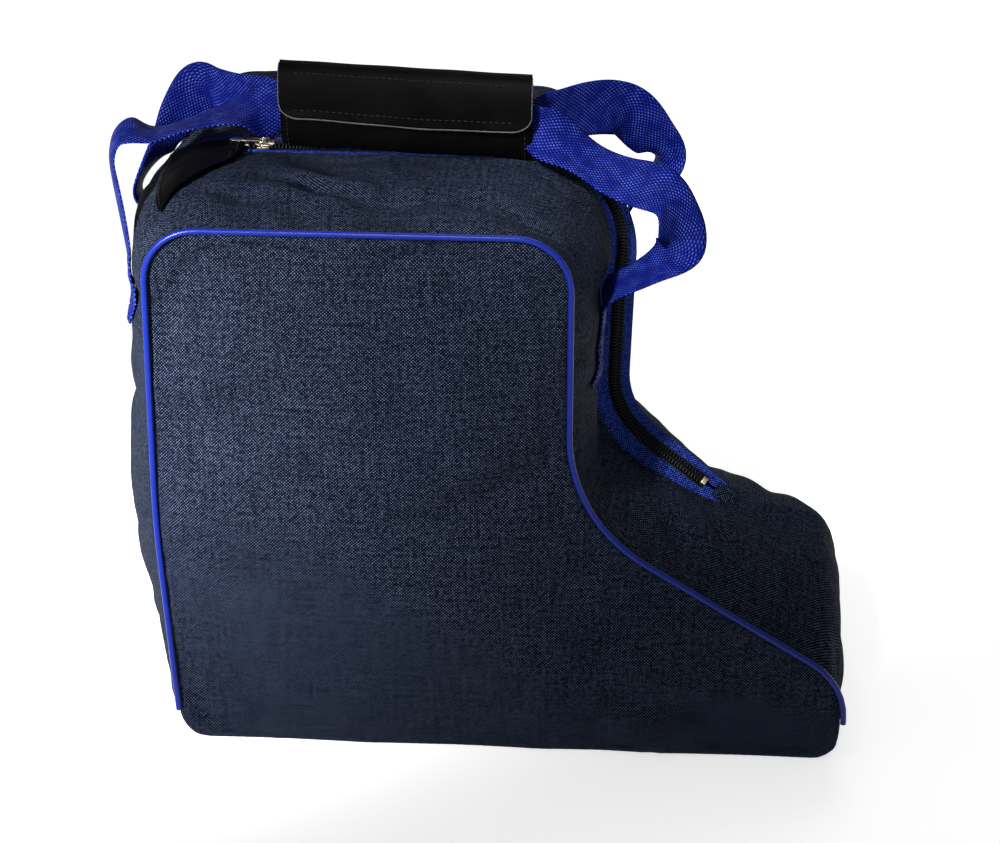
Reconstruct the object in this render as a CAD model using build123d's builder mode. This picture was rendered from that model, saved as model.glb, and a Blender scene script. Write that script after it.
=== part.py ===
from build123d import *
import os

# Ski boot bag, in millimetres. +X runs towards the toe, +Z up, and -Y is the near side.
# The origin is the centre of the flat base. The shell is boot-shaped in side view: its
# outline is RIM at the two side panels and CROWN along the middle of the gusset between
# them, where the fabric bulges out.

WALL = 2.0  # fabric, lining and foam together
HALF_WIDTH = 120.0
SEAM_Y = HALF_WIDTH - WALL
CROWN_Y = 30.0  # half width of the level band that carries the zip

# Corners of each outline, clockwise from the heel: x, z and corner radius
RIM = [
    (-194.0, 0.0, 12.0),
    (-199.0, 150.0, 900.0),
    (-197.0, 335.0, 24.0),
    (38.0, 335.0, 32.0),
    (38.0, 167.0, 80.0),
    (204.0, 69.0, 50.0),
    (204.0, 0.0, 12.0),
]
CROWN = [
    (-206.0, 0.0, 12.0),
    (-238.0, 150.0, 300.0),
    (-230.0, 338.0, 30.0),
    (76.0, 338.0, 34.0),
    (76.0, 175.0, 60.0),
    (207.0, 100.0, 24.0),
    (212.0, 0.0, 12.0),
]

# Zip mouth: the straight run along the top, whose two halves fold into the bag
MOUTH_BACK = -130.0
MOUTH_FRONT = 5.0
MOUTH_GAP = 0.4
ZIP_SLIT = 9.0  # half width of the slit in the gusset under the tape
SLIT_PAST_TEETH = 4.0
HINGE_GAP = 0.6  # between a mouth panel and the side panel it folds beside
ZIP_END = 128.0
TAPE_BACK = -200.0
TAPE_HALF = 16.0
TAPE_GAP = 0.8
TAPE_THICK = 1.0
TEETH_HALF = 4.1
TEETH_TOP = 3.0  # height of the teeth over the gusset
TEETH_BACK = -156.0
TEETH_END = 121.0
STOP_LENGTH = 2.5
ZIP_TOP = CROWN[2][1]

# Slider and pull
SLIDER_X = -145.0
SLIDER_LENGTH = 12.0
SLIDER_WIDTH = 11.0
SLIDER_CORNER = 3.0
PLATE = 1.3
FLANGE = 1.0  # width of the slider's side flanges and of the post between its plates
FLANGE_DROP = 1.7
FLANGE_BITE = 0.1  # how far the flanges run up into the plate
POST_LENGTH = 4.0
CHEEK = 2.6  # length and height of the lugs that carry the bar
CHEEK_THICK = 1.1
CHEEK_OUT = 0.9  # from the pull's side to the middle of a lug
PULL_LENGTH = 22.0
PULL_WIDTH = 6.0
PULL_THICK = 1.4
PULL_CORNER = 2.0
BAR_R = 0.6
PULL_EYE_R = 1.15
BAR_CLEARANCE = 0.06

# Grip: a flat padded sleeve with a wrap-over flap, round both handles
GRIP_BACK = -131.0
GRIP_FRONT = 14.0
GRIP_Y = -15.0
GRIP_BOTTOM = 346.5
GRIP_HEIGHT = 48.0
GRIP_THICK = 18.0
WRAP_WALL = 2.0
FLAP_LOWER = 359.0
FLAP_CORNER = 8.0
HANDLES_APART = 1.2  # each handle inside the grip, out from the grip's middle
HOOK_THICK = 1.0
HOOK_GAP = 0.3  # between the two strips while the flap is closed
HOOK_INSET = 6.0
HOOK_Z = (363.0, 383.0)

# Webbing
WEBBING_WIDTH = 34.0
WEBBING_THICK = 1.6
ANCHOR_WIDTH = 36.0
ANCHOR_PAST_X = 20.0  # the sewn ends lie beyond this, on the back and on the front
STRAP_REACH = 96.0  # distance along X from the grip's end to a sewn end, about
STRAP_BEND_R = 10.0

# Seams, base and the parts over the ends of the zip
PIPING_R = 2.2
HEEL_BEAD_Z = 16.0  # height of each end of the piping
TOE_BEAD_Z = 20.0
BINDING_THICK = 0.9
BINDING_INSET = (2.6, 11.0)  # its two edges, in from the side panel's outline
BINDING_Z = (13.0, 324.0)
BOARD_THICK = 2.5
BOARD_X = 4.0
BOARD_SIZE = (370.0, 220.0, 14.0)  # length, width and corner radius

COVER_THICK = 1.4
COVER_BACK = -206.0
COVER_Y = (-40.0, 20.0)
TAB_THICK = 1.2
TAB_LENGTH = 14.0

# Limits of the boxes that cut pieces out: past everything, above the foot of the bag,
# and above its shoulder, where only the top of the shell is
FAR_OUT = 500.0
ABOVE_FOOT = 60.0
SHOULDER = 300.0

near_far = [("near", -1), ("far", 1)]


def boot_face(corners, y, grow=0.0):
    """Boot-shaped face at one station across the bag, grown outwards by grow."""
    with BuildSketch(Plane.XZ.offset(-y)) as face:
        with BuildLine():
            points = [(x, z) for x, z, _ in corners]
            FilletPolyline(*points, radius=[radius for _, _, radius in corners], close=True)
        make_face()
        if grow:
            offset(amount=grow)
    return face.sketch


def bag_volume(grow=0.0):
    """Closed volume of the bag from seam to seam, crowned in the middle."""
    stations = [(-SEAM_Y, RIM), (-CROWN_Y, CROWN), (CROWN_Y, CROWN), (SEAM_Y, RIM)]
    with BuildPart() as volume:
        loft(sections=[boot_face(corners, y, grow).face() for y, corners in stations], ruled=True)
    return volume.part


def block(low, high):
    """Box between two corners, used to cut the shell into its panels."""
    with BuildPart() as solid:
        with Locations([tuple((a + b) / 2 for a, b in zip(low, high))]):
            Box(*[b - a for a, b in zip(low, high)])
    return solid.part


def skin(inner, outer):
    """Layer that follows the shell, between two distances from its outer face."""
    with BuildPart() as layer:
        add(bag_volume(outer))
        add(bag_volume(inner), mode=Mode.SUBTRACT)
    return layer.part


def crown_strip(inner, outer, y_low, y_high, x_low, x_high):
    """Strip lying on the level band of the gusset, as the zip tape and its teeth do."""
    with BuildPart() as strip:
        extrude(to_extrude=boot_face(CROWN, y_high, outer), amount=y_high - y_low)
        extrude(to_extrude=boot_face(CROWN, y_high, inner), amount=y_high - y_low, mode=Mode.SUBTRACT)
        add(block((x_low, y_low, ABOVE_FOOT), (x_high, y_high, FAR_OUT)), mode=Mode.INTERSECT)
    return strip.part


def finish(piece, label):
    """Name a finished piece and write it."""
    piece.label = label
    export_step(piece, f"parts/{label}.step")


os.makedirs("parts", exist_ok=True)
ring = skin(-WALL, 0)

# ---------------------------------------------------------------- side panels and piping
for side, sign in near_far:
    with BuildPart() as side_panel:
        inner_y = sign * SEAM_Y
        extrude(to_extrude=boot_face(RIM, inner_y), amount=-sign * WALL)
    finish(side_panel.part, f"{side}_side_panel")

    # Round bead in the seam, from the heel over the top and down to the toe
    with BuildPart() as piping:
        bead = [(x, z) for x, z, _ in RIM]
        bead_start = (RIM[0][0] - 1.3 * PIPING_R, HEEL_BEAD_Z)
        bead_end = (RIM[6][0] + PIPING_R, TOE_BEAD_Z)
        with BuildLine(Plane.XZ.offset(-sign * HALF_WIDTH)) as bead_path:
            FilletPolyline(
                bead_start,
                (bead[1][0] - PIPING_R, bead[1][1]),
                (bead[2][0] - PIPING_R, bead[2][1] + PIPING_R),
                (bead[3][0] + PIPING_R, bead[3][1] + PIPING_R),
                (bead[4][0] + PIPING_R, bead[4][1] + 0.7 * PIPING_R),
                (bead[5][0] + PIPING_R, bead[5][1] + 0.7 * PIPING_R),
                bead_end,
                radius=[
                    RIM[1][2],
                    RIM[2][2] + PIPING_R,
                    RIM[3][2] + PIPING_R,
                    RIM[4][2] - PIPING_R,
                    RIM[5][2] + PIPING_R,
                ],
            )
        with BuildSketch(Plane(bead_path.line @ 0, z_dir=bead_path.line % 0)):
            Circle(PIPING_R)
        sweep()
    finish(piping.part, f"{side}_piping")

    # Tape that binds the raw edges of the seam inside the bag, below the mouth
    with BuildPart() as binding:
        reach = sign * BINDING_THICK
        extrude(to_extrude=boot_face(RIM, sign * SEAM_Y, -BINDING_INSET[0]), amount=reach)
        inside = boot_face(RIM, sign * SEAM_Y, -BINDING_INSET[1])
        extrude(to_extrude=inside, amount=reach, mode=Mode.SUBTRACT)
        limits = block((-FAR_OUT, -FAR_OUT, BINDING_Z[0]), (FAR_OUT, FAR_OUT, BINDING_Z[1]))
        add(limits, mode=Mode.INTERSECT)
    finish(binding.part, f"{side}_seam_binding")

# ---------------------------------------------------------------------------------- base
with BuildPart() as bottom_panel:
    add(ring)
    add(block((-FAR_OUT, -FAR_OUT, -1), (FAR_OUT, FAR_OUT, WALL)), mode=Mode.INTERSECT)
finish(bottom_panel.part, "bottom_panel")

with BuildPart() as base_board:
    with BuildSketch(Plane.XY.offset(WALL)):
        with Locations((BOARD_X, 0)):
            RectangleRounded(*BOARD_SIZE)
    extrude(amount=BOARD_THICK)
finish(base_board.part, "base_board")

# -------------------------------------------------------------------------------- gusset
with BuildPart() as back_gusset:
    add(ring)
    add(block((-FAR_OUT, -FAR_OUT, WALL), (MOUTH_BACK, FAR_OUT, FAR_OUT)), mode=Mode.INTERSECT)
    slit = block((TEETH_BACK - SLIT_PAST_TEETH, -ZIP_SLIT, SHOULDER), (MOUTH_BACK, ZIP_SLIT, FAR_OUT))
    add(slit, mode=Mode.SUBTRACT)
finish(back_gusset.part, "back_gusset")

with BuildPart() as toe_gusset:
    add(ring)
    add(block((ZIP_END, -FAR_OUT, WALL), (FAR_OUT, FAR_OUT, FAR_OUT)), mode=Mode.INTERSECT)
finish(toe_gusset.part, "toe_gusset")

for side, sign in near_far:
    edge = sorted([sign * ZIP_SLIT, sign * FAR_OUT])
    with BuildPart() as front_gusset:
        add(ring)
        add(block((MOUTH_FRONT, edge[0], WALL), (ZIP_END, edge[1], FAR_OUT)), mode=Mode.INTERSECT)
    finish(front_gusset.part, f"{side}_front_gusset")

    hinge_edge = sorted([sign * ZIP_SLIT, sign * (SEAM_Y - HINGE_GAP)])
    with BuildPart() as mouth_panel:
        add(ring)
        low = (MOUTH_BACK + MOUTH_GAP, hinge_edge[0], SHOULDER)
        high = (MOUTH_FRONT - MOUTH_GAP, hinge_edge[1], FAR_OUT)
        add(block(low, high), mode=Mode.INTERSECT)
    finish(mouth_panel.part, f"{side}_mouth_panel")

# ----------------------------------------------------------------------------------- zip
# Each run: where its tape and its teeth start, and where its teeth and its tape end
top_run = (MOUTH_BACK + MOUTH_GAP, MOUTH_FRONT - MOUTH_GAP)
zip_runs = {
    "back": (TAPE_BACK, TEETH_BACK, MOUTH_BACK, MOUTH_BACK),
    "top": (top_run[0], top_run[0], top_run[1], top_run[1]),
    "front": (MOUTH_FRONT, MOUTH_FRONT, TEETH_END, ZIP_END),
}
for side, sign in near_far:
    tape_y = sorted([sign * TAPE_GAP, sign * TAPE_HALF])
    teeth_y = sorted([sign * TAPE_GAP, sign * TEETH_HALF])
    for run, (tape_low, teeth_low, teeth_high, tape_high) in zip_runs.items():
        with BuildPart() as zip_tape:
            add(crown_strip(0, TAPE_THICK, *tape_y, tape_low, tape_high))
        finish(zip_tape.part, f"{side}_zip_tape_{run}")

        with BuildPart() as zip_teeth:
            add(crown_strip(TAPE_THICK, TEETH_TOP, *teeth_y, teeth_low, teeth_high))
        finish(zip_teeth.part, f"{side}_zip_teeth_{run}")

for label, x_low in [("zip_back_stop", TEETH_BACK - STOP_LENGTH), ("zip_front_stop", TEETH_END)]:
    with BuildPart() as zip_stop:
        add(crown_strip(TAPE_THICK, TEETH_TOP, -TEETH_HALF, TEETH_HALF, x_low, x_low + STOP_LENGTH))
    finish(zip_stop.part, label)

# Two plates joined by a post that runs between the two rows of teeth
plate_z = ZIP_TOP + TEETH_TOP + 0.3
under_z = ZIP_TOP - 2.0
bar_z = plate_z + PLATE + PULL_EYE_R + 0.15
with BuildPart() as zip_slider:
    with BuildSketch(Plane.XY.offset(plate_z)):
        with Locations((SLIDER_X, 0)):
            RectangleRounded(SLIDER_LENGTH, SLIDER_WIDTH, SLIDER_CORNER)
    extrude(amount=PLATE)
    flange_y = (SLIDER_WIDTH - FLANGE) / 2
    flange_z = plate_z - FLANGE_DROP / 2 + FLANGE_BITE / 2
    with Locations((SLIDER_X, flange_y, flange_z), (SLIDER_X, -flange_y, flange_z)):
        Box(SLIDER_LENGTH / 2, FLANGE, FLANGE_DROP + FLANGE_BITE)
    with BuildSketch(Plane.XY.offset(under_z)):
        with Locations((SLIDER_X, 0)):
            RectangleRounded(SLIDER_LENGTH, SLIDER_WIDTH, SLIDER_CORNER)
    extrude(amount=PLATE)
    with Locations((SLIDER_X + SLIDER_LENGTH / 4, 0, (under_z + plate_z + PLATE) / 2)):
        Box(POST_LENGTH, FLANGE, plate_z - under_z + PLATE)
    cheek_y = PULL_WIDTH / 2 + CHEEK_OUT
    cheek_z = bar_z - BAR_R
    with Locations((SLIDER_X, cheek_y, cheek_z), (SLIDER_X, -cheek_y, cheek_z)):
        Box(CHEEK, CHEEK_THICK, CHEEK)
    with BuildSketch(Plane.XZ.offset(-cheek_y)):
        with Locations((SLIDER_X, bar_z)):
            Circle(BAR_R)
    extrude(amount=2 * cheek_y)
finish(zip_slider.part, "zip_slider")

with BuildPart() as zip_pull:
    with BuildSketch(Plane.XZ.offset(-PULL_WIDTH / 2)):
        with Locations((SLIDER_X, bar_z)):
            Circle(PULL_EYE_R)
        with Locations((SLIDER_X - PULL_LENGTH / 2, bar_z)):
            Rectangle(PULL_LENGTH, PULL_THICK)
        with Locations((SLIDER_X, bar_z)):
            Circle(BAR_R + BAR_CLEARANCE, mode=Mode.SUBTRACT)
    extrude(amount=PULL_WIDTH)
    fillet(zip_pull.edges().filter_by(Axis.Z).sort_by(Axis.X)[:2], PULL_CORNER)
finish(zip_pull.part, "zip_pull")

# Vinyl cover over the back end of the zip, and the fabric tab under its front end
with BuildPart() as zip_end_cover:
    add(skin(TAPE_THICK, TAPE_THICK + COVER_THICK))
    cover_front = TEETH_BACK - STOP_LENGTH - 0.5
    limits = block((COVER_BACK, COVER_Y[0], SHOULDER), (cover_front, COVER_Y[1], FAR_OUT))
    add(limits, mode=Mode.INTERSECT)
finish(zip_end_cover.part, "zip_end_cover")

with BuildPart() as zip_end_tab:
    add(skin(0, TAB_THICK))
    limits = block((ZIP_END, -TAPE_HALF, ABOVE_FOOT), (ZIP_END + TAB_LENGTH, TAPE_HALF, FAR_OUT))
    add(limits, mode=Mode.INTERSECT)
finish(zip_end_tab.part, "zip_end_tab")

# ------------------------------------------------------------------------------- handles
# Each handle has a sewn-down end on the back and on the front of the shell, and a slack
# stretch of webbing from there to the grip.
anchor_layer = skin(0, WEBBING_THICK)
# Grip end, direction along X, and lowest and highest point of the sewn end
handle_ends = {
    "back": (GRIP_BACK, -1, 250.0, 292.0),
    "front": (GRIP_FRONT, 1, 232.0, 275.0),
}
anchor_y = {
    ("near", "back"): -55.0,
    ("near", "front"): -50.0,
    ("far", "back"): 50.0,
    ("far", "front"): 50.0,
}
strap_y = {"near": -19.0, "far": -11.0}
# Distance out from the grip, and height, of the bends of each slack stretch
strap_bends = {
    ("near", "back"): [(4.0, 370.0), (94.0, 366.0), (107.0, 340.0), (104.0, 294.0)],
    ("near", "front"): [(4.0, 368.0), (62.0, 352.0), (100.0, 310.0), (68.0, 277.0)],
    ("far", "back"): [(4.0, 374.0), (96.0, 372.0), (118.0, 340.0), (116.0, 294.0)],
    ("far", "front"): [(4.0, 374.0), (70.0, 370.0), (112.0, 322.0), (92.0, 277.0)],
}
for (side, end), bends in strap_bends.items():
    grip_end, x_sign, low_z, high_z = handle_ends[end]
    centre_y = anchor_y[side, end]
    x_range = sorted([x_sign * ANCHOR_PAST_X, x_sign * FAR_OUT])
    with BuildPart() as anchor:
        add(anchor_layer)
        add(
            block(
                (x_range[0], centre_y - ANCHOR_WIDTH / 2, low_z),
                (x_range[1], centre_y + ANCHOR_WIDTH / 2, high_z),
            ),
            mode=Mode.INTERSECT,
        )
    finish(anchor.part, f"{side}_{end}_handle_anchor")

    # Upright plane from the grip's end towards the sewn end
    reach = Vector(x_sign * STRAP_REACH, centre_y - strap_y[side], 0).normalized()
    strap_plane = Plane((grip_end, strap_y[side], 0), x_dir=reach, z_dir=reach.cross(Vector(0, 0, 1)))
    with BuildPart() as strap:
        with BuildLine(strap_plane) as strap_path:
            FilletPolyline(*bends, radius=STRAP_BEND_R)
        start = strap_path.line @ 0
        with BuildSketch(Plane(start, x_dir=strap_plane.z_dir, z_dir=strap_path.line % 0)):
            Rectangle(WEBBING_WIDTH, WEBBING_THICK)
        sweep()
    finish(strap.part, f"{side}_handle_{end}")

# ---------------------------------------------------------------------------------- grip
grip_z = GRIP_BOTTOM + GRIP_HEIGHT / 2


def grip_section(x, grow):
    """Cross-section of the grip: a flat sleeve with round top and bottom."""
    with BuildSketch(Plane(origin=(x, GRIP_Y, grip_z), x_dir=(0, 0, 1), z_dir=(1, 0, 0))) as section:
        SlotOverall(GRIP_HEIGHT + 2 * grow, GRIP_THICK + 2 * grow)
    return section.sketch


def grip_layer(inner, outer, y_low, y_high, z_low, z_high, inset=0.0):
    """Layer wrapped round the grip, kept only inside the given y and z limits."""
    length = GRIP_FRONT - GRIP_BACK - 2 * inset
    with BuildPart() as layer:
        extrude(to_extrude=grip_section(GRIP_BACK + inset, outer), amount=length)
        extrude(to_extrude=grip_section(GRIP_BACK + inset, inner), amount=length, mode=Mode.SUBTRACT)
        add(block((GRIP_BACK, y_low, z_low), (GRIP_FRONT, y_high, z_high)), mode=Mode.INTERSECT)
    return layer.part


with BuildPart() as grip_wrap:
    add(grip_layer(-WRAP_WALL, 0, -FAR_OUT, FAR_OUT, 0, FAR_OUT))
finish(grip_wrap.part, "grip_wrap")

with BuildPart() as loop_strip:
    add(grip_layer(0, HOOK_THICK, -FAR_OUT, GRIP_Y, *HOOK_Z, HOOK_INSET))
finish(loop_strip.part, "loop_strip")

hook_inner = HOOK_THICK + HOOK_GAP
with BuildPart() as hook_strip:
    add(grip_layer(hook_inner, hook_inner + HOOK_THICK, -FAR_OUT, GRIP_Y, *HOOK_Z, HOOK_INSET))
finish(hook_strip.part, "hook_strip")

flap_inner = hook_inner + HOOK_THICK
with BuildPart() as grip_flap:
    add(grip_layer(flap_inner, flap_inner + WRAP_WALL, -FAR_OUT, GRIP_Y, FLAP_LOWER, FAR_OUT))
    fillet(grip_flap.edges().filter_by(Axis.Y).group_by(Axis.Z)[0], FLAP_CORNER)
finish(grip_flap.part, "grip_flap")

# The handles' own webbing runs on through the sleeve, side by side
for side, sign in near_far:
    with BuildPart() as grip_webbing:
        with Locations(((GRIP_BACK + GRIP_FRONT) / 2, GRIP_Y + sign * HANDLES_APART, grip_z)):
            Box(GRIP_FRONT - GRIP_BACK - 1, WEBBING_THICK, WEBBING_WIDTH)
    finish(grip_webbing.part, f"{side}_handle_grip")
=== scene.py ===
import math

import bmesh
import bpy
import numpy as np
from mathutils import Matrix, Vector
from mathutils.bvhtree import BVHTree
from mathutils.geometry import delaunay_2d_cdt


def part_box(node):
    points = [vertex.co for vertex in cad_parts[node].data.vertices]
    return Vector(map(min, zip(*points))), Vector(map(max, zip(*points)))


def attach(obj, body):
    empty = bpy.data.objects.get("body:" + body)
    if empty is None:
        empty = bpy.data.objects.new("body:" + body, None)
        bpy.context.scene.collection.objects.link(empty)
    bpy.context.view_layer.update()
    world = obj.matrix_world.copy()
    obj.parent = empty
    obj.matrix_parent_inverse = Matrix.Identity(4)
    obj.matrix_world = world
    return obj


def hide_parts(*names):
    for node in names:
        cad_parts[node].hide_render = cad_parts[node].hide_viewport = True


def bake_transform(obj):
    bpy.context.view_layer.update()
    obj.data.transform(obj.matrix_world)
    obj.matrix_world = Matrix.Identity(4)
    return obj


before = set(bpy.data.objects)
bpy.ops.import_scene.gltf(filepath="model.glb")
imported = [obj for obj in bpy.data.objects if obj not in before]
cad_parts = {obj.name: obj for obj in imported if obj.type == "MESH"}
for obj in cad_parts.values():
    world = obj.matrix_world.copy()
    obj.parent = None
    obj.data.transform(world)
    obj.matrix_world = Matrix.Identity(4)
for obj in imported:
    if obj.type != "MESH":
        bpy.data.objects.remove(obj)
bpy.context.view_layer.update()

# Metres throughout. +X towards the toe, -Y is the near side, +Z up.
MM = 0.001
rng = np.random.default_rng(7)

# ------------------------------------------------------------------ driving dimensions
HALF_WIDTH = 0.119
# Corners of the shell's outline at the side seams and along the middle of the gusset:
# x, z and corner radius, clockwise from the heel
RIM = [
    (-0.192, 0.0, 0.014),
    (-0.198, 0.150, 0.9),
    (-0.193, 0.334, 0.030),
    (0.040, 0.334, 0.030),
    (0.040, 0.161, 0.100),
    (0.206, 0.055, 0.045),
    (0.205, 0.0, 0.014),
]
CROWN = [
    (-0.214, 0.0, 0.014),
    (-0.231, 0.105, 0.300),
    (-0.212, 0.341, 0.040),
    (0.073, 0.341, 0.062),
    (0.068, 0.168, 0.050),
    (0.201, 0.094, 0.026),
    (0.206, 0.0, 0.014),
]
FABRIC_STEP = 0.0058  # mesh size of the cloth
CLOTH_THICK = 1.3 * MM
ZIP_NEAR = (0.0085, 0.0152)  # from the zip's middle to the near fabric edge, top and front
ZIP_FAR = (0.0085, 0.0064)
TAPE_UNDER = 0.0045  # how far each tape reaches under the fabric
COVER_X = -0.160  # back end of the open slit, under the vinyl cover
MOUTH_BACK = -0.150
MOUTH_MIDDLE = -0.0625
MOUTH_FRONT = 0.026
ZIP_END_X = 0.140
PIPING_R = 1.8 * MM
WEBBING_WIDTH = 33 * MM
WEBBING_THICK = 1.7 * MM


def unit(v):
    return v / max(np.linalg.norm(v), 1e-12)


def units(a):
    return a / np.maximum(np.linalg.norm(a, axis=-1, keepdims=True), 1e-12)


def smooth(t):
    t = np.clip(t, 0, 1)
    return t * t * (3 - 2 * t)


# --------------------------------------------------------------------------- outlines
def corner_arc(before, corner, after, radius):
    """Start, centre and end of the arc that rounds one corner."""
    to_before = unit(before - corner)
    to_after = unit(after - corner)
    half = math.acos(float(to_before @ to_after)) / 2
    reach = radius / math.tan(half)
    centre = corner + unit(to_before + to_after) * radius / math.sin(half)
    return corner + to_before * reach, centre, corner + to_after * reach


def outline_arcs(corners):
    points = [np.array(c[:2]) for c in corners]
    count = len(points)
    return [corner_arc(points[i - 1], points[i], points[(i + 1) % count], corners[i][2]) for i in range(count)]


def piece_lengths(corners):
    """Length of each arc and of the straight that follows it."""
    arcs = outline_arcs(corners)
    lengths = []
    for i, (start, centre, end) in enumerate(arcs):
        turn = math.acos(float(unit(start - centre) @ unit(end - centre)))
        following = arcs[(i + 1) % len(arcs)][0]
        lengths.append((turn * corners[i][2], float(np.linalg.norm(following - end))))
    return lengths


def sample_outline(corners, counts):
    """Points round a rounded outline, with the given number on each arc and straight."""
    arcs = outline_arcs(corners)
    points = []
    for i, (start, centre, end) in enumerate(arcs):
        a, b = start - centre, end - centre
        turn = math.acos(float(unit(a) @ unit(b)))
        for k in range(counts[i][0]):
            t = k / counts[i][0]
            points.append(centre + (math.sin((1 - t) * turn) * a + math.sin(t * turn) * b) / math.sin(turn))
        following = arcs[(i + 1) % len(arcs)][0]
        for k in range(counts[i][1]):
            points.append(end + (following - end) * k / counts[i][1])
    return np.array(points)


piece_counts = [
    [max(2, round((a + b) / 2 / FABRIC_STEP)) for a, b in zip(rim_piece, crown_piece)]
    for rim_piece, crown_piece in zip(piece_lengths(RIM), piece_lengths(CROWN))
]
rim = sample_outline(RIM, piece_counts)
crown = sample_outline(CROWN, piece_counts)
LOOP = len(rim)
tangent = units(np.roll(crown, -1, 0) - np.roll(crown, 1, 0))
outward = np.column_stack([-tangent[:, 1], tangent[:, 0]])
piece_start = np.concatenate([[0], np.cumsum([a + b for a, b in piece_counts])])


def crown_station(x, first_corner, last_corner):
    """Index of the crown point nearest to x, between two corners of the outline."""
    low, high = piece_start[first_corner], piece_start[last_corner]
    return int(low + np.argmin(np.abs(crown[low:high, 0] - x)))


S_COVER = crown_station(COVER_X, 2, 4)
S_MOUTH_BACK = crown_station(MOUTH_BACK, 2, 4)
S_MOUTH_MIDDLE = crown_station(MOUTH_MIDDLE, 2, 4)
S_MOUTH_FRONT = crown_station(MOUTH_FRONT, 2, 4)
S_ZIP_END = crown_station(ZIP_END_X, 4, 6)
S_TURN = int(piece_start[3] + piece_counts[3][0])  # lower end of the top front corner

# The zip lies level on top, then turns on to the near side as it runs down the front
index = np.arange(LOOP)
on_top = smooth((index - S_COVER + 8) / 8) * (1 - smooth((index - S_ZIP_END) / 14))
turned = smooth((index - S_MOUTH_FRONT) / (S_TURN - S_MOUTH_FRONT + 4))
low_end = smooth((index - S_ZIP_END + 13) / 13)
zip_tilt = np.radians(12 + 48 * turned - 8 * low_end) * on_top
# It also lies a little inside the crown on the front run, and nearer at its two ends
zip_inset = 0.0045 * turned * on_top
zip_nearer = 0.020 * (low_end * (1 - smooth((index - S_ZIP_END) / 14)))
zip_nearer += 0.012 * smooth((S_MOUTH_BACK - index) / 8) * smooth((index - S_COVER + 14) / 10)

# The slit narrows to a point at its lower end
taper = 0.15 + 0.85 * np.sqrt(np.clip((S_ZIP_END - index) / 10, 0, 1))
taper[index < S_COVER - 10] = 1.0
zip_near = (ZIP_NEAR[0] + (ZIP_NEAR[1] - ZIP_NEAR[0]) * turned) * taper
zip_far = (ZIP_FAR[0] + (ZIP_FAR[1] - ZIP_FAR[0]) * turned) * taper
past_end = smooth((index - S_ZIP_END) / 10)
zip_near += (ZIP_NEAR[1] - zip_near) * past_end
zip_far += (ZIP_FAR[1] - zip_far) * past_end


def zip_frame(s):
    """Centre of the zip, its direction across and its outward direction, at loop index s."""
    out = np.array([outward[s][0], 0, outward[s][1]])
    across = math.cos(zip_tilt[s]) * np.array([0, 1.0, 0]) + math.sin(zip_tilt[s]) * out
    centre = np.array([crown[s][0], -zip_nearer[s], crown[s][1]]) - out * zip_inset[s]
    up = math.cos(zip_tilt[s]) * out - math.sin(zip_tilt[s]) * np.array([0, 1.0, 0])
    return centre, across, up


def settle(points):
    """The far side stands a little high on top, and hangs low and further in at the toe."""
    p = np.array(points, float).reshape(-1, 3)
    behind = smooth((p[:, 1] - 0.02) / 0.085) * (1 - 0.7 * smooth((p[:, 1] - 0.108) / 0.011))
    on_shoulder = smooth((p[:, 2] - 0.26) / 0.07)
    p[:, 2] += behind * on_shoulder * (0.009 + 0.004 * smooth((0.02 - p[:, 0]) / 0.16))
    share = smooth((p[:, 0] - 0.02) / 0.12) * smooth((p[:, 1] + 0.01) / 0.125)
    raised = smooth(p[:, 2] / 0.07)
    p[:, 1] -= 0.026 * share * raised
    p[:, 2] -= 0.33 * p[:, 2] * share
    return p


# ------------------------------------------------------------------------ mesh helpers
def new_object(name, points, faces, uvs=None, smooth_faces=True):
    """Mesh object from points and faces, with optional UVs in metres per face corner."""
    mesh = bpy.data.meshes.new(name)
    mesh.from_pydata([tuple(map(float, p)) for p in points], [], [tuple(map(int, f)) for f in faces])
    if uvs is not None:
        layer = mesh.uv_layers.new(name="UVMap")
        layer.data.foreach_set("uv", np.array(uvs, np.float32).ravel())
    mesh.polygons.foreach_set("use_smooth", [smooth_faces] * len(mesh.polygons))
    mesh.update()
    obj = bpy.data.objects.new(name, mesh)
    bpy.context.scene.collection.objects.link(obj)
    return obj


def coordinates(obj):
    co = np.zeros(len(obj.data.vertices) * 3, np.float32)
    obj.data.vertices.foreach_get("co", co)
    return co.reshape(-1, 3).astype(float)


def apply_modifiers(obj):
    graph = bpy.context.evaluated_depsgraph_get()
    mesh = bpy.data.meshes.new_from_object(obj.evaluated_get(graph), preserve_all_data_layers=True, depsgraph=graph)
    old = obj.data
    obj.modifiers.clear()
    obj.data = mesh
    bpy.data.meshes.remove(old)
    return obj


def grid_faces(rows, columns, closed=False):
    """Quads of a grid of points, optionally closed along its columns."""
    faces = []
    for i in range(rows - 1):
        for j in range(columns if closed else columns - 1):
            k = (j + 1) % columns
            faces.append((i * columns + j, i * columns + k, (i + 1) * columns + k, (i + 1) * columns + j))
    return faces


def along(points):
    """Distance along a line of points."""
    steps = np.linalg.norm(np.diff(points, axis=0), axis=1)
    return np.concatenate([[0], np.cumsum(steps)])


def path_frames(points, side_hint):
    """Tangent, side and up directions along a line of points."""
    points = np.array(points, float)
    forward = units(np.gradient(points, axis=0))
    side = np.broadcast_to(np.array(side_hint, float), points.shape)
    side = units(side - (side * forward).sum(1, keepdims=True) * forward)
    return forward, side, np.cross(side, forward)


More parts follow.
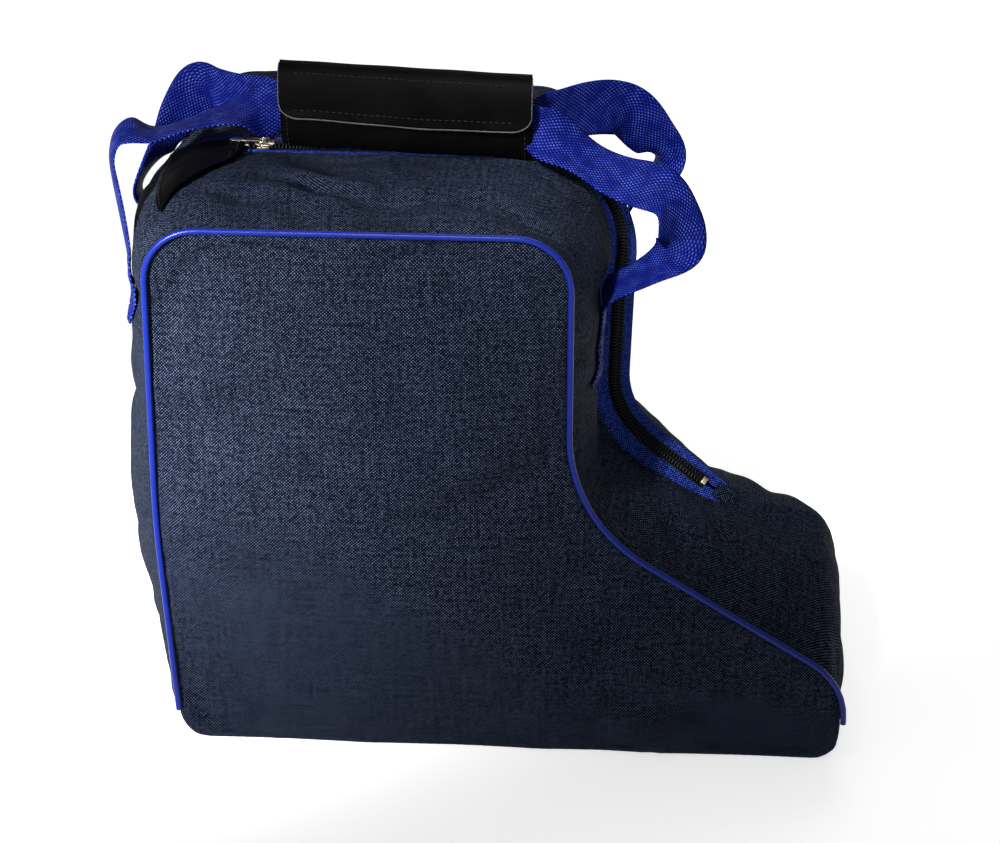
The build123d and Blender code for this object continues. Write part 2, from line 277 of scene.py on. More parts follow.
def tube(name, points, radius, side_hint, sides=12, closed_ends=True):
    """Round bead along a line of points."""
    points = np.array(points, float)
    _, side, up = path_frames(points, side_hint)
    angles = np.arange(sides) * 2 * math.pi / sides
    radii = np.broadcast_to(radius, (len(points),))
    rings = [
        points[i] + radii[i] * (np.cos(a) * side[i] + np.sin(a) * up[i]) for i in range(len(points)) for a in angles
    ]
    faces = grid_faces(len(points), sides, closed=True)
    if closed_ends:
        faces.append(tuple(range(sides))[::-1])
        last = (len(points) - 1) * sides
        faces.append(tuple(range(last, last + sides)))
    obj = new_object(name, rings, faces)
    outward_normals(obj)
    return obj


def outward_normals(obj):
    bm = bmesh.new()
    bm.from_mesh(obj.data)
    bmesh.ops.recalc_face_normals(bm, faces=bm.faces)
    bm.to_mesh(obj.data)
    bm.free()


def join(name, objects):
    """One object from several, keeping their materials' slots."""
    bm = bmesh.new()
    for o in objects:
        bm.from_mesh(o.data)
    mesh = bpy.data.meshes.new(name)
    bm.to_mesh(mesh)
    bm.free()
    for o in objects:
        bpy.data.objects.remove(o)
    obj = bpy.data.objects.new(name, mesh)
    bpy.context.scene.collection.objects.link(obj)
    return obj


def ribbon(name, centres, across, width, thick, columns=8, cup=0.0, edge=0.55):
    """Closed flat strap. centres and across give its middle line and width direction."""
    centres = np.array(centres, float)
    widths = np.broadcast_to(width, len(centres))
    across = units(np.array(across, float))
    forward = units(np.gradient(centres, axis=0))
    across = units(across - (across * forward).sum(1, keepdims=True) * forward)
    up = np.cross(forward, across)
    t = np.linspace(-1, 1, columns + 1)
    profile = [(x, thick / 2 * (1 if abs(x) < 0.93 else edge), 1) for x in t]
    profile += [(x, -thick / 2 * (1 if abs(x) < 0.93 else edge), -1) for x in t[::-1]]
    ring_count = len(profile)
    points = []
    for c, a, u, w in zip(centres, across, up, widths):
        for x, z, _ in profile:
            points.append(c + a * x * w / 2 + u * (z + cup * (x * x - 0.4)))
    faces = grid_faces(len(centres), ring_count, closed=True)
    faces.append(tuple(range(ring_count))[::-1])
    last = (len(centres) - 1) * ring_count
    faces.append(tuple(range(last, last + ring_count)))
    length = along(centres)
    uvs = []
    for f in faces:
        for v in f:
            uvs.append((profile[v % ring_count][0] * widths[-1] / 2, length[v // ring_count]))
    obj = new_object(name, points, faces, uvs)
    outward_normals(obj)
    return obj


def stitches(name, points, normals, pitch=3.2 * MM, length=2.3 * MM, radius=0.38 * MM, lift=0.25 * MM):
    """Row of short thread stitches lying on a surface along a line of points."""
    points = np.array(points, float)
    normals = np.broadcast_to(np.array(normals, float), points.shape)
    distance = along(points)
    verts, faces = [], []
    ring = [(math.cos(a), math.sin(a)) for a in np.arange(6) * math.pi / 3]
    for start in np.arange(0.3 * pitch, distance[-1] - length, pitch):
        at = [np.array([np.interp(start + f * length, distance, points[:, k]) for k in range(3)]) for f in (0, 1)]
        normal = unit(np.array([np.interp(start, distance, normals[:, k]) for k in range(3)]))
        forward = unit(at[1] - at[0])
        side = unit(np.cross(forward, normal))
        for f, scale, height in ((0, 0.35, -0.6), (0.2, 1, 0.6), (0.8, 1, 0.6), (1, 0.35, -0.6)):
            centre = at[0] + (at[1] - at[0]) * f + normal * (lift * height)
            for c, s in ring:
                verts.append(centre + side * c * radius * scale + normal * s * radius * scale)
        base = len(verts) - 24
        faces += [tuple(base + v for v in q) for q in grid_faces(4, 6, closed=True)]
        faces.append(tuple(base + v for v in range(6))[::-1])
        faces.append(tuple(base + v for v in range(18, 24)))
    obj = new_object(name, verts, faces)
    outward_normals(obj)
    return obj


# --------------------------------------------------------------------------- materials
class Nodes:
    """Small helper to write a node tree as nested expressions."""

    def __init__(self, name):
        self.material = bpy.data.materials.new(name)
        self.material.use_nodes = True
        self.tree = self.material.node_tree
        self.shader = self.tree.nodes["Principled BSDF"]

    def add(self, kind, **settings):
        node = self.tree.nodes.new(kind)
        for key, value in settings.items():
            setattr(node, key, value)
        return node

    def put(self, socket, value):
        if hasattr(value, "is_output"):
            self.tree.links.new(value, socket)
        else:
            socket.default_value = value

    def math(self, operation, a, b=0.0, clamp=False):
        node = self.add("ShaderNodeMath", operation=operation, use_clamp=clamp)
        self.put(node.inputs[0], a)
        self.put(node.inputs[1], b)
        return node.outputs[0]

    def ramp(self, value, stops):
        node = self.add("ShaderNodeValToRGB")
        elements = node.color_ramp.elements
        while len(elements) < len(stops):
            elements.new(0.5)
        for element, (position, color) in zip(elements, stops):
            element.position = position
            element.color = (*color, 1) if len(color) == 3 else color
        self.put(node.inputs[0], value)
        return node.outputs[0]

    def mix(self, factor, a, b, blend="MIX"):
        node = self.add("ShaderNodeMix", data_type="RGBA", blend_type=blend)
        self.put(node.inputs["Factor"], factor)
        for socket, value in ((node.inputs[6], a), (node.inputs[7], b)):
            self.put(socket, (*value, 1) if isinstance(value, tuple) and len(value) == 3 else value)
        return node.outputs[2]

    def noise(self, vector, scale, detail=2.0, roughness=0.5):
        node = self.add("ShaderNodeTexNoise")
        self.put(node.inputs["Vector"], vector)
        self.put(node.inputs["Scale"], scale)
        self.put(node.inputs["Detail"], detail)
        self.put(node.inputs["Roughness"], roughness)
        return node.outputs["Fac"]

    def uv(self):
        return self.add("ShaderNodeUVMap", uv_map="UVMap").outputs[0]

    def place(self):
        return self.add("ShaderNodeTexCoord").outputs["Object"]

    def split(self, vector):
        node = self.add("ShaderNodeSeparateXYZ")
        self.put(node.inputs[0], vector)
        return node.outputs[0], node.outputs[1], node.outputs[2]

    def scaled(self, vector, scale):
        node = self.add("ShaderNodeMapping")
        self.put(node.inputs["Vector"], vector)
        node.inputs["Scale"].default_value = scale
        return node.outputs[0]

    def bump(self, height, distance, strength=1.0, normal=None):
        node = self.add("ShaderNodeBump")
        self.put(node.inputs["Height"], height)
        node.inputs["Distance"].default_value = distance
        node.inputs["Strength"].default_value = strength
        if normal is not None:
            self.put(node.inputs["Normal"], normal)
        return node.outputs[0]

    def finish(self, **inputs):
        for key, value in inputs.items():
            socket = self.shader.inputs[key.replace("_", " ")]
            if isinstance(value, tuple) and len(value) == 3 and socket.type == "RGBA":
                value = (*value, 1)
            self.put(socket, value)
        return self.material


def woven(name, dark, light, painted_glint, pitch, bump, sheen=0.02, painted_glint_share=0.55, roughness=0.8, wear=0.22):
    """Coarse woven cloth: a chequer of yarn floats, uneven yarns, painted glints on the yarn peaks and soft wear."""
    n = Nodes(name)
    uv = n.uv()
    u, v, _ = n.split(uv)
    wave_u = n.math("SINE", n.math("MULTIPLY", u, 2 * math.pi / pitch))
    wave_v = n.math("SINE", n.math("MULTIPLY", v, 2 * math.pi / pitch))
    height = n.math("ADD", n.math("MULTIPLY", n.math("MULTIPLY", wave_u, wave_v), 0.5), 0.5)
    yarn_u = n.noise(n.scaled(uv, (1 / pitch, 0.06 / pitch, 1)), 1.0, 1.0)
    yarn_v = n.noise(n.scaled(uv, (0.06 / pitch, 1 / pitch, 1)), 1.0, 1.0)
    yarn = n.math("MULTIPLY", yarn_u, yarn_v)
    speck = n.noise(n.scaled(uv, (0.8 / pitch, 0.8 / pitch, 1)), 1.0, 1.0)
    cloud = n.noise(n.place(), 9.0, 4.0, 0.6)
    base = n.mix(height, dark, light)
    base = n.mix(n.math("MULTIPLY", n.ramp(cloud, [(0.35, (0, 0, 0)), (0.72, (1, 1, 1))]), wear), base, light)
    # Painted glints: a highlight colour painted on the peaks of the yarn floats.
    bright = n.math("MULTIPLY", height, n.math("ADD", n.math("MULTIPLY", yarn, 0.7), n.math("ADD", n.math("MULTIPLY", speck, 0.9), 0.2)))
    painted_glint_mask = n.ramp(bright, [(painted_glint_share, (0, 0, 0)), (min(1.0, painted_glint_share + 0.22), (1, 1, 1))])
    base = n.mix(painted_glint_mask, base, painted_glint)
    rough = n.math("SUBTRACT", roughness, n.math("MULTIPLY", painted_glint_mask, 0.2))
    fold = n.bump(n.noise(n.place(), 38.0, 3.0, 0.55), 0.0009, 0.5)
    normal = n.bump(n.math("ADD", height, n.math("MULTIPLY", yarn, 0.25)), bump, 0.9, fold)
    return n.finish(
        Base_Color=base,
        Roughness=rough,
        Normal=normal,
        Sheen_Weight=sheen,
        Sheen_Roughness=0.5,
        Sheen_Tint=(*light, 1),
        Specular_IOR_Level=0.03,
    )


def webbing_material(name, dark, light, painted_glint):
    """Shiny polypropylene webbing: rows of raised floats, with highlights painted on their crests."""
    n = Nodes(name)
    uv = n.uv()
    u, v, _ = n.split(uv)
    pitch_u, pitch_v = 2.3 * MM, 3.0 * MM
    wave_u = n.math("SINE", n.math("MULTIPLY", u, 2 * math.pi / pitch_u))
    wave_v = n.math("SINE", n.math("MULTIPLY", v, 2 * math.pi / pitch_v))
    height = n.math("ADD", n.math("MULTIPLY", n.math("MULTIPLY", wave_u, wave_v), 0.5), 0.5)
    fibre = n.noise(n.scaled(uv, (5200, 700, 1)), 1.0, 2.0)
    cloud = n.noise(n.place(), 30.0, 3.0)
    body = n.mix(n.ramp(height, [(0.15, (0, 0, 0)), (0.75, (1, 1, 1))]), dark, light)
    body = n.mix(n.math("MULTIPLY", n.ramp(cloud, [(0.4, (0, 0, 0)), (0.8, (1, 1, 1))]), 0.5), body, light)
    # Painted highlights: crest colour painted on the float peaks, broken into uneven patches by noise.
    glint_breakup = n.ramp(n.noise(n.place(), 130.0, 2.0), [(0.38, (0.1, 0.1, 0.1)), (0.68, (1, 1, 1))])
    painted_crest_glint = n.math("MULTIPLY", n.ramp(height, [(0.62, (0, 0, 0)), (1.0, (1, 1, 1))]), n.math("MULTIPLY", fibre, glint_breakup))
    body = n.mix(painted_crest_glint, body, painted_glint)
    normal = n.bump(n.math("ADD", height, n.math("MULTIPLY", fibre, 0.25)), 0.5 * MM, 0.9)
    rough = n.math("SUBTRACT", 0.55, n.math("MULTIPLY", painted_crest_glint, 0.25))
    return n.finish(
        Base_Color=body,
        Roughness=rough,
        Normal=normal,
        Sheen_Weight=0.0,
        Sheen_Roughness=0.4,
        Specular_IOR_Level=0.04,
    )


def vinyl_material(name, color, scuffed):
    """Black leatherette: fine pebble grain, soft creases and dull scuffs."""
    n = Nodes(name)
    place = n.place()
    grain = n.add("ShaderNodeTexVoronoi", feature="DISTANCE_TO_EDGE")
    n.put(grain.inputs["Vector"], place)
    grain.inputs["Scale"].default_value = 900.0
    crease = n.noise(n.scaled(place, (0.5, 1.0, 1.6)), 60.0, 5.0, 0.6)
    cloud = n.noise(place, 25.0, 4.0, 0.6)
    base = n.mix(n.ramp(cloud, [(0.45, (0, 0, 0)), (0.85, (1, 1, 1))]), color, scuffed)
    rough = n.math("ADD", 0.42, n.math("MULTIPLY", cloud, 0.16))
    first = n.bump(crease, 0.4 * MM, 0.3)
    normal = n.bump(n.ramp(grain.outputs["Distance"], [(0, (0, 0, 0)), (0.25, (1, 1, 1))]), 0.08 * MM, 0.7, first)
    return n.finish(Base_Color=base, Roughness=rough, Normal=normal, Specular_IOR_Level=0.02)


def moulded(name, color, light, roughness, bump=0.1 * MM, scale=300.0, metallic=0.0, coat=0.0, specular=0.1):
    """Smooth moulded or cast surface with faint variation."""
    n = Nodes(name)
    place = n.place()
    cloud = n.noise(place, scale, 3.0)
    soft = n.noise(place, scale / 12, 2.0)
    base = n.mix(n.math("MULTIPLY", soft, 0.6), color, light)
    rough = n.math("ADD", roughness, n.math("MULTIPLY", n.math("SUBTRACT", cloud, 0.5), 0.2))
    return n.finish(
        Base_Color=base,
        Roughness=rough,
        Normal=n.bump(cloud, bump, 0.5),
        Metallic=metallic,
        Coat_Weight=coat,
        Specular_IOR_Level=specular,
    )


# The fourth colour given to each woven cloth and to the webbing is a painted glint: highlight colour painted on the
# yarn peaks.
NAVY = woven(
    "navy_weave", (0.0008, 0.0013, 0.0040), (0.0026, 0.0043, 0.0108), (0.050, 0.066, 0.108), 1.9 * MM, 0.28 * MM
)
LINING = woven(
    "black_lining", (0.002, 0.002, 0.003), (0.007, 0.007, 0.008), (0.02, 0.02, 0.024), 0.9 * MM, 0.1 * MM
)
TAPE = woven(
    "blue_tape", (0.0008, 0.0022, 0.034), (0.0018, 0.0065, 0.095), (0.045, 0.10, 0.46), 1.6 * MM, 0.2 * MM, 0.04, 0.5, 0.7
)
WEBBING = webbing_material("blue_webbing", (0.0004, 0.0012, 0.030), (0.0010, 0.0042, 0.100), (0.12, 0.20, 0.78))
PIPING = moulded("blue_piping", (0.0012, 0.008, 0.125), (0.002, 0.013, 0.17), 0.34, 0.05 * MM, 200.0, 0.0, 0.0, 0.2)
VINYL = vinyl_material("black_vinyl", (0.0010, 0.0010, 0.0012), (0.0026, 0.0026, 0.003))
RAW_EDGE = moulded("raw_vinyl_edge", (0.035, 0.033, 0.030), (0.11, 0.105, 0.096), 0.8, 0.1 * MM, 900.0)
TEETH = moulded("zip_coil", (0.0012, 0.0015, 0.004), (0.004, 0.005, 0.010), 0.45)
METAL = moulded("zip_metal", (0.42, 0.37, 0.27), (0.65, 0.60, 0.50), 0.3, 0.04 * MM, 500.0, 1.0, 0.0, 0.5)
THREAD_NAVY = moulded("navy_thread", (0.0015, 0.0025, 0.009), (0.006, 0.009, 0.02), 0.7)
THREAD_BLACK = moulded("black_thread", (0.003, 0.003, 0.0035), (0.014, 0.014, 0.015), 0.6)
THREAD_BLUE = moulded("blue_thread", (0.001, 0.003, 0.045), (0.0025, 0.008, 0.10), 0.6)
BOARD = moulded("board_plastic", (0.010, 0.010, 0.011), (0.025, 0.025, 0.025), 0.6, 0.2 * MM, 120.0)
FUZZ = woven("hook_fuzz", (0.002, 0.002, 0.002), (0.008, 0.008, 0.009), (0.03, 0.03, 0.033), 1.2 * MM, 0.6 * MM)


def dress(obj, material):
    """Give a piece its material."""
    obj.data.materials.clear()
    obj.data.materials.append(material)
    return obj


# ------------------------------------------------------------------ camera and studio
def build_studio():
    azimuth, elevation, distance = math.radians(3.6), math.radians(27), 1.42
    target = Vector((0, 0, 0.170))
    looking = Vector(
        (
            -math.sin(azimuth) * math.cos(elevation),
            math.cos(azimuth) * math.cos(elevation),
            -math.sin(elevation),
        )
    )
    camera = bpy.data.objects.new("camera", bpy.data.cameras.new("camera"))
    camera.location = target - looking * distance
    camera.rotation_euler = looking.to_track_quat("-Z", "Y").to_euler()
    camera.data.sensor_width = 36.0
    camera.data.lens = 2.29 * 36.0
    camera.data.shift_x = -0.010
    camera.data.shift_y = -0.0115
    bpy.context.scene.collection.objects.link(camera)
    bpy.context.scene.camera = camera

    floor = new_object("floor", [(-6, -6, 0), (6, -6, 0), (6, 6, 0), (-6, 6, 0)], [(0, 1, 2, 3)])
    n = Nodes("studio_floor")
    tone = n.mix(n.noise(n.place(), 3.0), (0.86, 0.86, 0.86), (0.9, 0.9, 0.9))
    floor.data.materials.append(
        n.finish(
            Base_Color=tone, Roughness=0.9, Specular_IOR_Level=0.1, Emission_Color=(1, 1, 1), Emission_Strength=0.62
        )
    )

    world = bpy.data.worlds.new("studio")
    world.use_nodes = True
    world.node_tree.nodes["Background"].inputs[0].default_value = (1, 1, 1, 1)
    world.node_tree.nodes["Background"].inputs[1].default_value = 0.30
    bpy.context.scene.world = world
    bpy.context.scene.view_settings.view_transform = "Standard"

    def light(name, place, aim, size, power):
        lamp = bpy.data.lights.new(name, "AREA")
        lamp.energy = power
        lamp.size = size
        obj = bpy.data.objects.new(name, lamp)
        obj.location = place
        obj.rotation_euler = (Vector(aim) - Vector(place)).to_track_quat("-Z", "Y").to_euler()
        bpy.context.scene.collection.objects.link(obj)

    light("fill", (0.3, -2.2, 0.9), (0, 0, 0.2), 1.5, 5)
    light("rim", (0.2, 1.6, 1.7), (0, 0, 0.25), 1.2, 10)

    def spot(name, place, aim, cone, power):
        lamp = bpy.data.lights.new(name, "SPOT")
        lamp.energy = power
        lamp.spot_size = math.radians(cone)
        lamp.spot_blend = 1.0
        lamp.shadow_soft_size = 0.10
        obj = bpy.data.objects.new(name, lamp)
        obj.location = place
        obj.rotation_euler = (Vector(aim) - Vector(place)).to_track_quat("-Z", "Y").to_euler()
        bpy.context.scene.collection.objects.link(obj)

    # The key is a soft-edged lamp on the heel's side, so the toe falls into shade
    spot("key", (-1.1, -1.5, 0.95), (-0.275, -0.12, 0.24), 15.5, 900)
    spot("handle_light", (-0.5, -1.2, 1.5), (0.055, -0.03, 0.34), 11, 420)


build_studio()

# ------------------------------------------------------------------------ fabric shell
COLUMNS_EACH = 19
edge_t = np.linspace(0, 1, COLUMNS_EACH + 1)
zip_t = np.linspace(-1, 1, 5)
COLUMNS = 2 * COLUMNS_EACH + len(zip_t)


def bulge(t):
    """How far the gusset has swelled from the seam, at t = 0, to the zip, at t = 1."""
    return 1 - (1 - t) ** 1.7


def gusset_grid():
    """Points of the gusset and base: one row for each loop index, near seam to far seam."""
    rows = np.zeros((LOOP, COLUMNS, 3))
    for s in range(LOOP):
        centre, across, _ = zip_frame(s)
        near_edge, far_edge = centre - across * zip_near[s], centre + across * zip_far[s]
        for j, t in enumerate(edge_t[:-1]):
            for column, seam_y, edge in (
                (j, -HALF_WIDTH, near_edge),
                (COLUMNS - 1 - j, HALF_WIDTH, far_edge),
            ):
                seam = np.array([rim[s][0], seam_y, rim[s][1]])
                p = seam + (edge - seam) * t
                swell = seam + (edge - seam) * bulge(t)
                rows[s, column] = (swell[0], p[1], swell[2])
        for j, t in enumerate(zip_t):
            rows[s, COLUMNS_EACH + j] = centre + across * t * (zip_far[s] if t > 0 else zip_near[s])
    return rows


def panel_points(y):
    """Side panel: inner points and triangles, with the rim as their border."""
    inner = []
    low, high = rim.min(0), rim.max(0)
    row_step = FABRIC_STEP * 0.87
    for r, z in enumerate(np.arange(low[1] + row_step, high[1], row_step)):
        for x in np.arange(low[0] + (r % 2) * FABRIC_STEP / 2, high[0], FABRIC_STEP):
            inner.append((x, z))
    inner = np.array(inner)
    a, b = rim, np.roll(rim, -1, 0)
    inside = np.zeros(len(inner), bool)
    nearest = np.full(len(inner), 1.0)
    for p, q in zip(a, b):
        crosses = (p[1] > inner[:, 1]) != (q[1] > inner[:, 1])
        with np.errstate(divide="ignore", invalid="ignore"):
            at = (q[0] - p[0]) * (inner[:, 1] - p[1]) / (q[1] - p[1]) + p[0]
        inside ^= crosses & (inner[:, 0] < at)
        d = q - p
        t = np.clip(((inner - p) @ d) / (d @ d), 0, 1)
        nearest = np.minimum(nearest, np.linalg.norm(inner - (p + t[:, None] * d), axis=1))
    inner = inner[inside & (nearest > 0.6 * FABRIC_STEP)]
    flat = [Vector(p) for p in np.vstack([rim, inner])]
    result = delaunay_2d_cdt(flat, [], [list(range(LOOP))], 1, 1e-7)
    origin = [o[0] for o in result[3]]
    triangles = [tuple(origin[v] for v in f) for f in result[2]]
    return np.column_stack([inner[:, 0], np.full(len(inner), y), inner[:, 1]]), triangles


REGIONS = [
    "near_panel",
    "far_panel",
    "base",
    "back",
    "near_mouth_back",
    "near_mouth_front",
    "far_mouth_back",
    "far_mouth_front",
    "near_front",
    "far_front",
    "toe",
    "slit",
]
BASE_START = int(piece_start[6] + piece_counts[6][0])


def gusset_region(s, column):
    """Which piece of fabric the grid cell at loop index s and this column belongs to."""
    middle = COLUMNS_EACH <= column < COLUMNS_EACH + len(zip_t) - 1
    side = "near" if column < COLUMNS // 2 else "far"
    if middle and S_COVER <= s < S_ZIP_END:
        return "slit"
    if s >= BASE_START:
        return "base"
    if s < S_MOUTH_BACK:
        return "back"
    if s < S_MOUTH_MIDDLE:
        return f"{side}_mouth_back"
    if s < S_MOUTH_FRONT:
        return f"{side}_mouth_front"
    if s < S_ZIP_END:
        return f"{side}_front"
    return "toe"


def build_shell():
    """The whole closed shell as one welded mesh, with a material index for each region."""
    rows = gusset_grid()
    points = rows.reshape(-1, 3)
    faces, regions, uvs = [], [], []
    run = along(np.vstack([crown, crown[:1]]))
    across = np.array([along(rows[s]) - along(rows[s])[-1] / 2 for s in range(LOOP)])
    for s in range(LOOP):
        following = (s + 1) % LOOP
        for j in range(COLUMNS - 1):
            faces.append((s * COLUMNS + j, following * COLUMNS + j, following * COLUMNS + j + 1, s * COLUMNS + j + 1))
            regions.append(REGIONS.index(gusset_region(s, j)))
            uvs += [
                (run[s], across[s][j]),
                (run[s + 1], across[following][j]),
                (run[s + 1], across[following][j + 1]),
                (run[s], across[s][j + 1]),
            ]
    for label, y, column in (("near_panel", -HALF_WIDTH, 0), ("far_panel", HALF_WIDTH, COLUMNS - 1)):
        inner, triangles = panel_points(y)
        start = len(points)
        points = np.vstack([points, inner])
        index_of = [s * COLUMNS + column for s in range(LOOP)] + list(range(start, start + len(inner)))
        for triangle in triangles:
            face = tuple(index_of[v] for v in triangle)
            faces.append(face)
            regions.append(REGIONS.index(label))
            uvs += [(points[v][0], points[v][2]) for v in face]
    shell = new_object("shell", settle(points), faces, uvs)
    for _ in REGIONS:
        shell.data.materials.append(None)
    shell.data.polygons.foreach_set("material_index", regions)
    outward_normals(shell)
    return shell


def hold_groups(shell):
    """Vertices the cloth can't leave: seams, base and zip edges."""
    held = np.zeros(len(shell.data.vertices))
    for s in range(LOOP):
        held[s * COLUMNS] = held[s * COLUMNS + COLUMNS - 1] = 1.0
        if S_COVER - 4 <= s <= S_ZIP_END + 1:
            for j in range(len(zip_t)):
                held[s * COLUMNS + COLUMNS_EACH + j] = 1.0
    co = coordinates(shell)
    held[co[:, 2] < 0.0015] = 1.0
    return held


def simulate(shell, held):
    """Slack, lightly stuffed cloth: it is cut a little too large, blown out and let sag."""
    group = shell.vertex_groups.new(name="held")
    for v, weight in enumerate(held):
        if weight:
            group.add([v], float(weight), "REPLACE")
    start = coordinates(shell)
    cloth = shell.modifiers.new("cloth", "CLOTH")
    settings = cloth.settings
    settings.quality = 6
    settings.mass = 0.25
    settings.tension_stiffness = 18
    settings.compression_stiffness = 18
    settings.shear_stiffness = 6
    settings.bending_stiffness = 0.9
    settings.tension_damping = 12
    settings.compression_damping = 12
    settings.bending_damping = 2
    settings.air_damping = 2
    settings.vertex_group_mass = "held"
    settings.pin_stiffness = 1.0
    settings.shrink_min = -0.020
    settings.use_pressure = True
    settings.uniform_pressure_force = 2.6
    settings.effector_weights.gravity = 0.02
    cloth.collision_settings.use_collision = False
    cloth.collision_settings.use_self_collision = False
    last = 30
    cloth.point_cache.frame_start = 1
    cloth.point_cache.frame_end = last
    scene = bpy.context.scene
    for f in range(1, last + 1):
        scene.frame_set(f)
    apply_modifiers(shell)
    scene.frame_set(1)
    moved = coordinates(shell) - start
    distance = np.linalg.norm(moved, axis=1, keepdims=True)
    limit = 0.017
    capped = limit * np.tanh(distance / limit)
    settled = start + moved * capped / np.maximum(distance, 1e-9)
    settled[:, 2] = np.maximum(settled[:, 2], 0.0)
    shell.data.vertices.foreach_set("co", settled.astype(np.float32).ravel())
    shell.data.update()
    return float(distance.max())


def press_crease(co, normals, start, end, depth, width, ridge=0.35):
    """A sharp fold pressed into the cloth along a line, with a soft ridge beside it."""
    a, b = np.array(start), np.array(end)
    d = b - a
    t = np.clip(((co - a) @ d) / (d @ d), 0, 1)
    gap = np.linalg.norm(co - (a + t[:, None] * d), axis=1)
    fade = np.sin(np.clip(t, 0.02, 0.98) * math.pi) ** 0.6
    valley = np.exp(-((gap / width) ** 2))
    swell = np.exp(-(((gap - 2.2 * width) / (1.3 * width)) ** 2))
    return co + normals * ((ridge * swell - valley) * depth * fade)[:, None]


CREASES = [
    # start, end, depth and half width of each fold
    ((-0.135, -0.052, 0.342), (-0.070, -0.088, 0.340), 0.0078, 0.0050),
    ((-0.070, -0.088, 0.340), (-0.010, -0.084, 0.341), 0.0036, 0.0060),
    ((-0.175, -0.070, 0.338), (-0.120, -0.092, 0.338), 0.0034, 0.0060),
    ((-0.020, -0.080, 0.341), (0.030, -0.108, 0.334), 0.0030, 0.0070),
    ((0.124, -0.030, 0.140), (0.146, -0.104, 0.096), 0.0090, 0.0044),
    ((0.092, -0.040, 0.154), (0.112, -0.100, 0.116), 0.0060, 0.0060),
    ((0.064, -0.055, 0.180), (0.074, -0.104, 0.146), 0.0040, 0.0065),
    ((0.050, -0.104, 0.235), (0.056, -0.050, 0.210), 0.0034, 0.0065),
    ((0.048, -0.106, 0.290), (0.060, -0.040, 0.275), 0.0028, 0.0065),
    ((0.105, -0.124, 0.040), (0.165, -0.124, 0.016), 0.0040, 0.0075),
    ((0.060, -0.126, 0.052), (0.128, -0.126, 0.028), 0.0032, 0.0090),
    ((-0.150, -0.126, 0.020), (-0.050, -0.126, 0.008), 0.0026, 0.0080),
    ((-0.186, -0.126, 0.215), (-0.110, -0.128, 0.250), 0.0024, 0.0110),
    ((0.034, -0.126, 0.190), (-0.050, -0.128, 0.150), 0.0030, 0.0130),
    ((-0.060, -0.128, 0.290), (-0.030, -0.130, 0.180), 0.0022, 0.0150),
    ((-0.222, -0.060, 0.120), (-0.228, 0.040, 0.095), 0.0045, 0.0090),
    ((-0.210, -0.095, 0.210), (-0.230, 0.010, 0.190), 0.0040, 0.0090),
    ((-0.210, 0.095, 0.240), (-0.228, 0.020, 0.215), 0.0036, 0.0090),
    ((-0.205, -0.100, 0.280), (-0.222, -0.030, 0.262), 0.0034, 0.0080),
    ((0.150, 0.080, 0.070), (0.168, 0.010, 0.110), 0.0045, 0.0080),
    ((0.202, -0.090, 0.050), (0.208, 0.060, 0.058), 0.0036, 0.0090),
    ((-0.120, 0.126, 0.250), (-0.010, 0.126, 0.190), 0.0030, 0.0120),
    ((-0.060, 0.126, 0.060), (0.080, 0.126, 0.090), 0.0034, 0.0120),
]


def add_creases(shell, held):
    co = coordinates(shell)
    normals = np.zeros(len(co) * 3, np.float32)
    shell.data.vertex_normals.foreach_get("vector", normals)
    normals = normals.reshape(-1, 3).astype(float)
    free = (1 - held)[:, None]
    moved = co
    for start, end, depth, width in CREASES:
        moved = press_crease(moved, normals, start, end, depth, width)
    waves = [(rng.uniform(14, 34, 3), rng.uniform(0, 6.28), rng.uniform(0.25, 0.6)) for _ in range(9)]
    lump = sum(w * np.sin(co @ k + p) for k, p, w in waves)
    moved = moved + normals * (0.0011 * lump)[:, None]
    co = co + (moved - co) * free
    shell.data.vertices.foreach_set("co", co.astype(np.float32).ravel())
    shell.data.update()


shell = build_shell()
held = hold_groups(shell)
simulate(shell, held)
add_creases(shell, held)
surface = coordinates(shell)[: LOOP * COLUMNS].reshape(LOOP, COLUMNS, 3)

shell.vertex_groups.clear()
rounded = shell.modifiers.new("rounded", "SUBSURF")
rounded.levels = rounded.render_levels = 1
apply_modifiers(shell)


def vertex_normals(obj):
    normals = np.zeros(len(obj.data.vertices) * 3, np.float32)
    obj.data.vertex_normals.foreach_get("vector", normals)
    return normals.reshape(-1, 3).astype(float)


def cut_out(shell, region, name):
    """One region of the shell as its own closed piece of cloth, lined on its inside.

    It keeps the whole shell's normals, so the cloth runs on unbroken from piece to piece.
    """
    wanted = REGIONS.index(region)
    mesh = shell.data
    uv_layer = mesh.uv_layers["UVMap"].data
    index_of, faces, uvs = {}, [], []
    for p in mesh.polygons:
        if p.material_index != wanted:
            continue
        faces.append([index_of.setdefault(v, len(index_of)) for v in p.vertices])
        uvs.append([tuple(uv_layer[i].uv) for i in p.loop_indices])
    taken = list(index_of)
    points, normals = coordinates(shell)[taken], units(vertex_normals(shell)[taken])
    count = len(points)
    directed = {(f[i - 1], f[i]): u[i] for f, u in zip(faces, uvs) for i in range(len(f))}
    border = [(a, b, uv) for (a, b), uv in directed.items() if (b, a) not in directed]
    all_faces = faces + [[v + count for v in f[::-1]] for f in faces]
    all_faces += [[b, a, a + count, b + count] for a, b, _ in border]
    all_uvs = [uv for u in uvs for uv in u] + [uv for u in uvs for uv in u[::-1]]
    all_uvs += [uv for _, _, uv in border for _ in range(4)]
    piece = new_object(name, np.vstack([points, points - normals * CLOTH_THICK]), all_faces, all_uvs)
    piece.data.materials.append(NAVY)
    piece.data.materials.append(LINING)
    inside = [0] * len(faces) + [1] * len(faces) + [0] * len(border)
    piece.data.polygons.foreach_set("material_index", inside)
    both = np.vstack([normals, -normals])
    corner_normals = []
    for p in piece.data.polygons:
        is_rim = p.index >= 2 * len(faces)
        corner_normals += [tuple(p.normal) if is_rim else tuple(both[v]) for v in p.vertices]
    piece.data.normals_split_custom_set(corner_normals)
    return piece


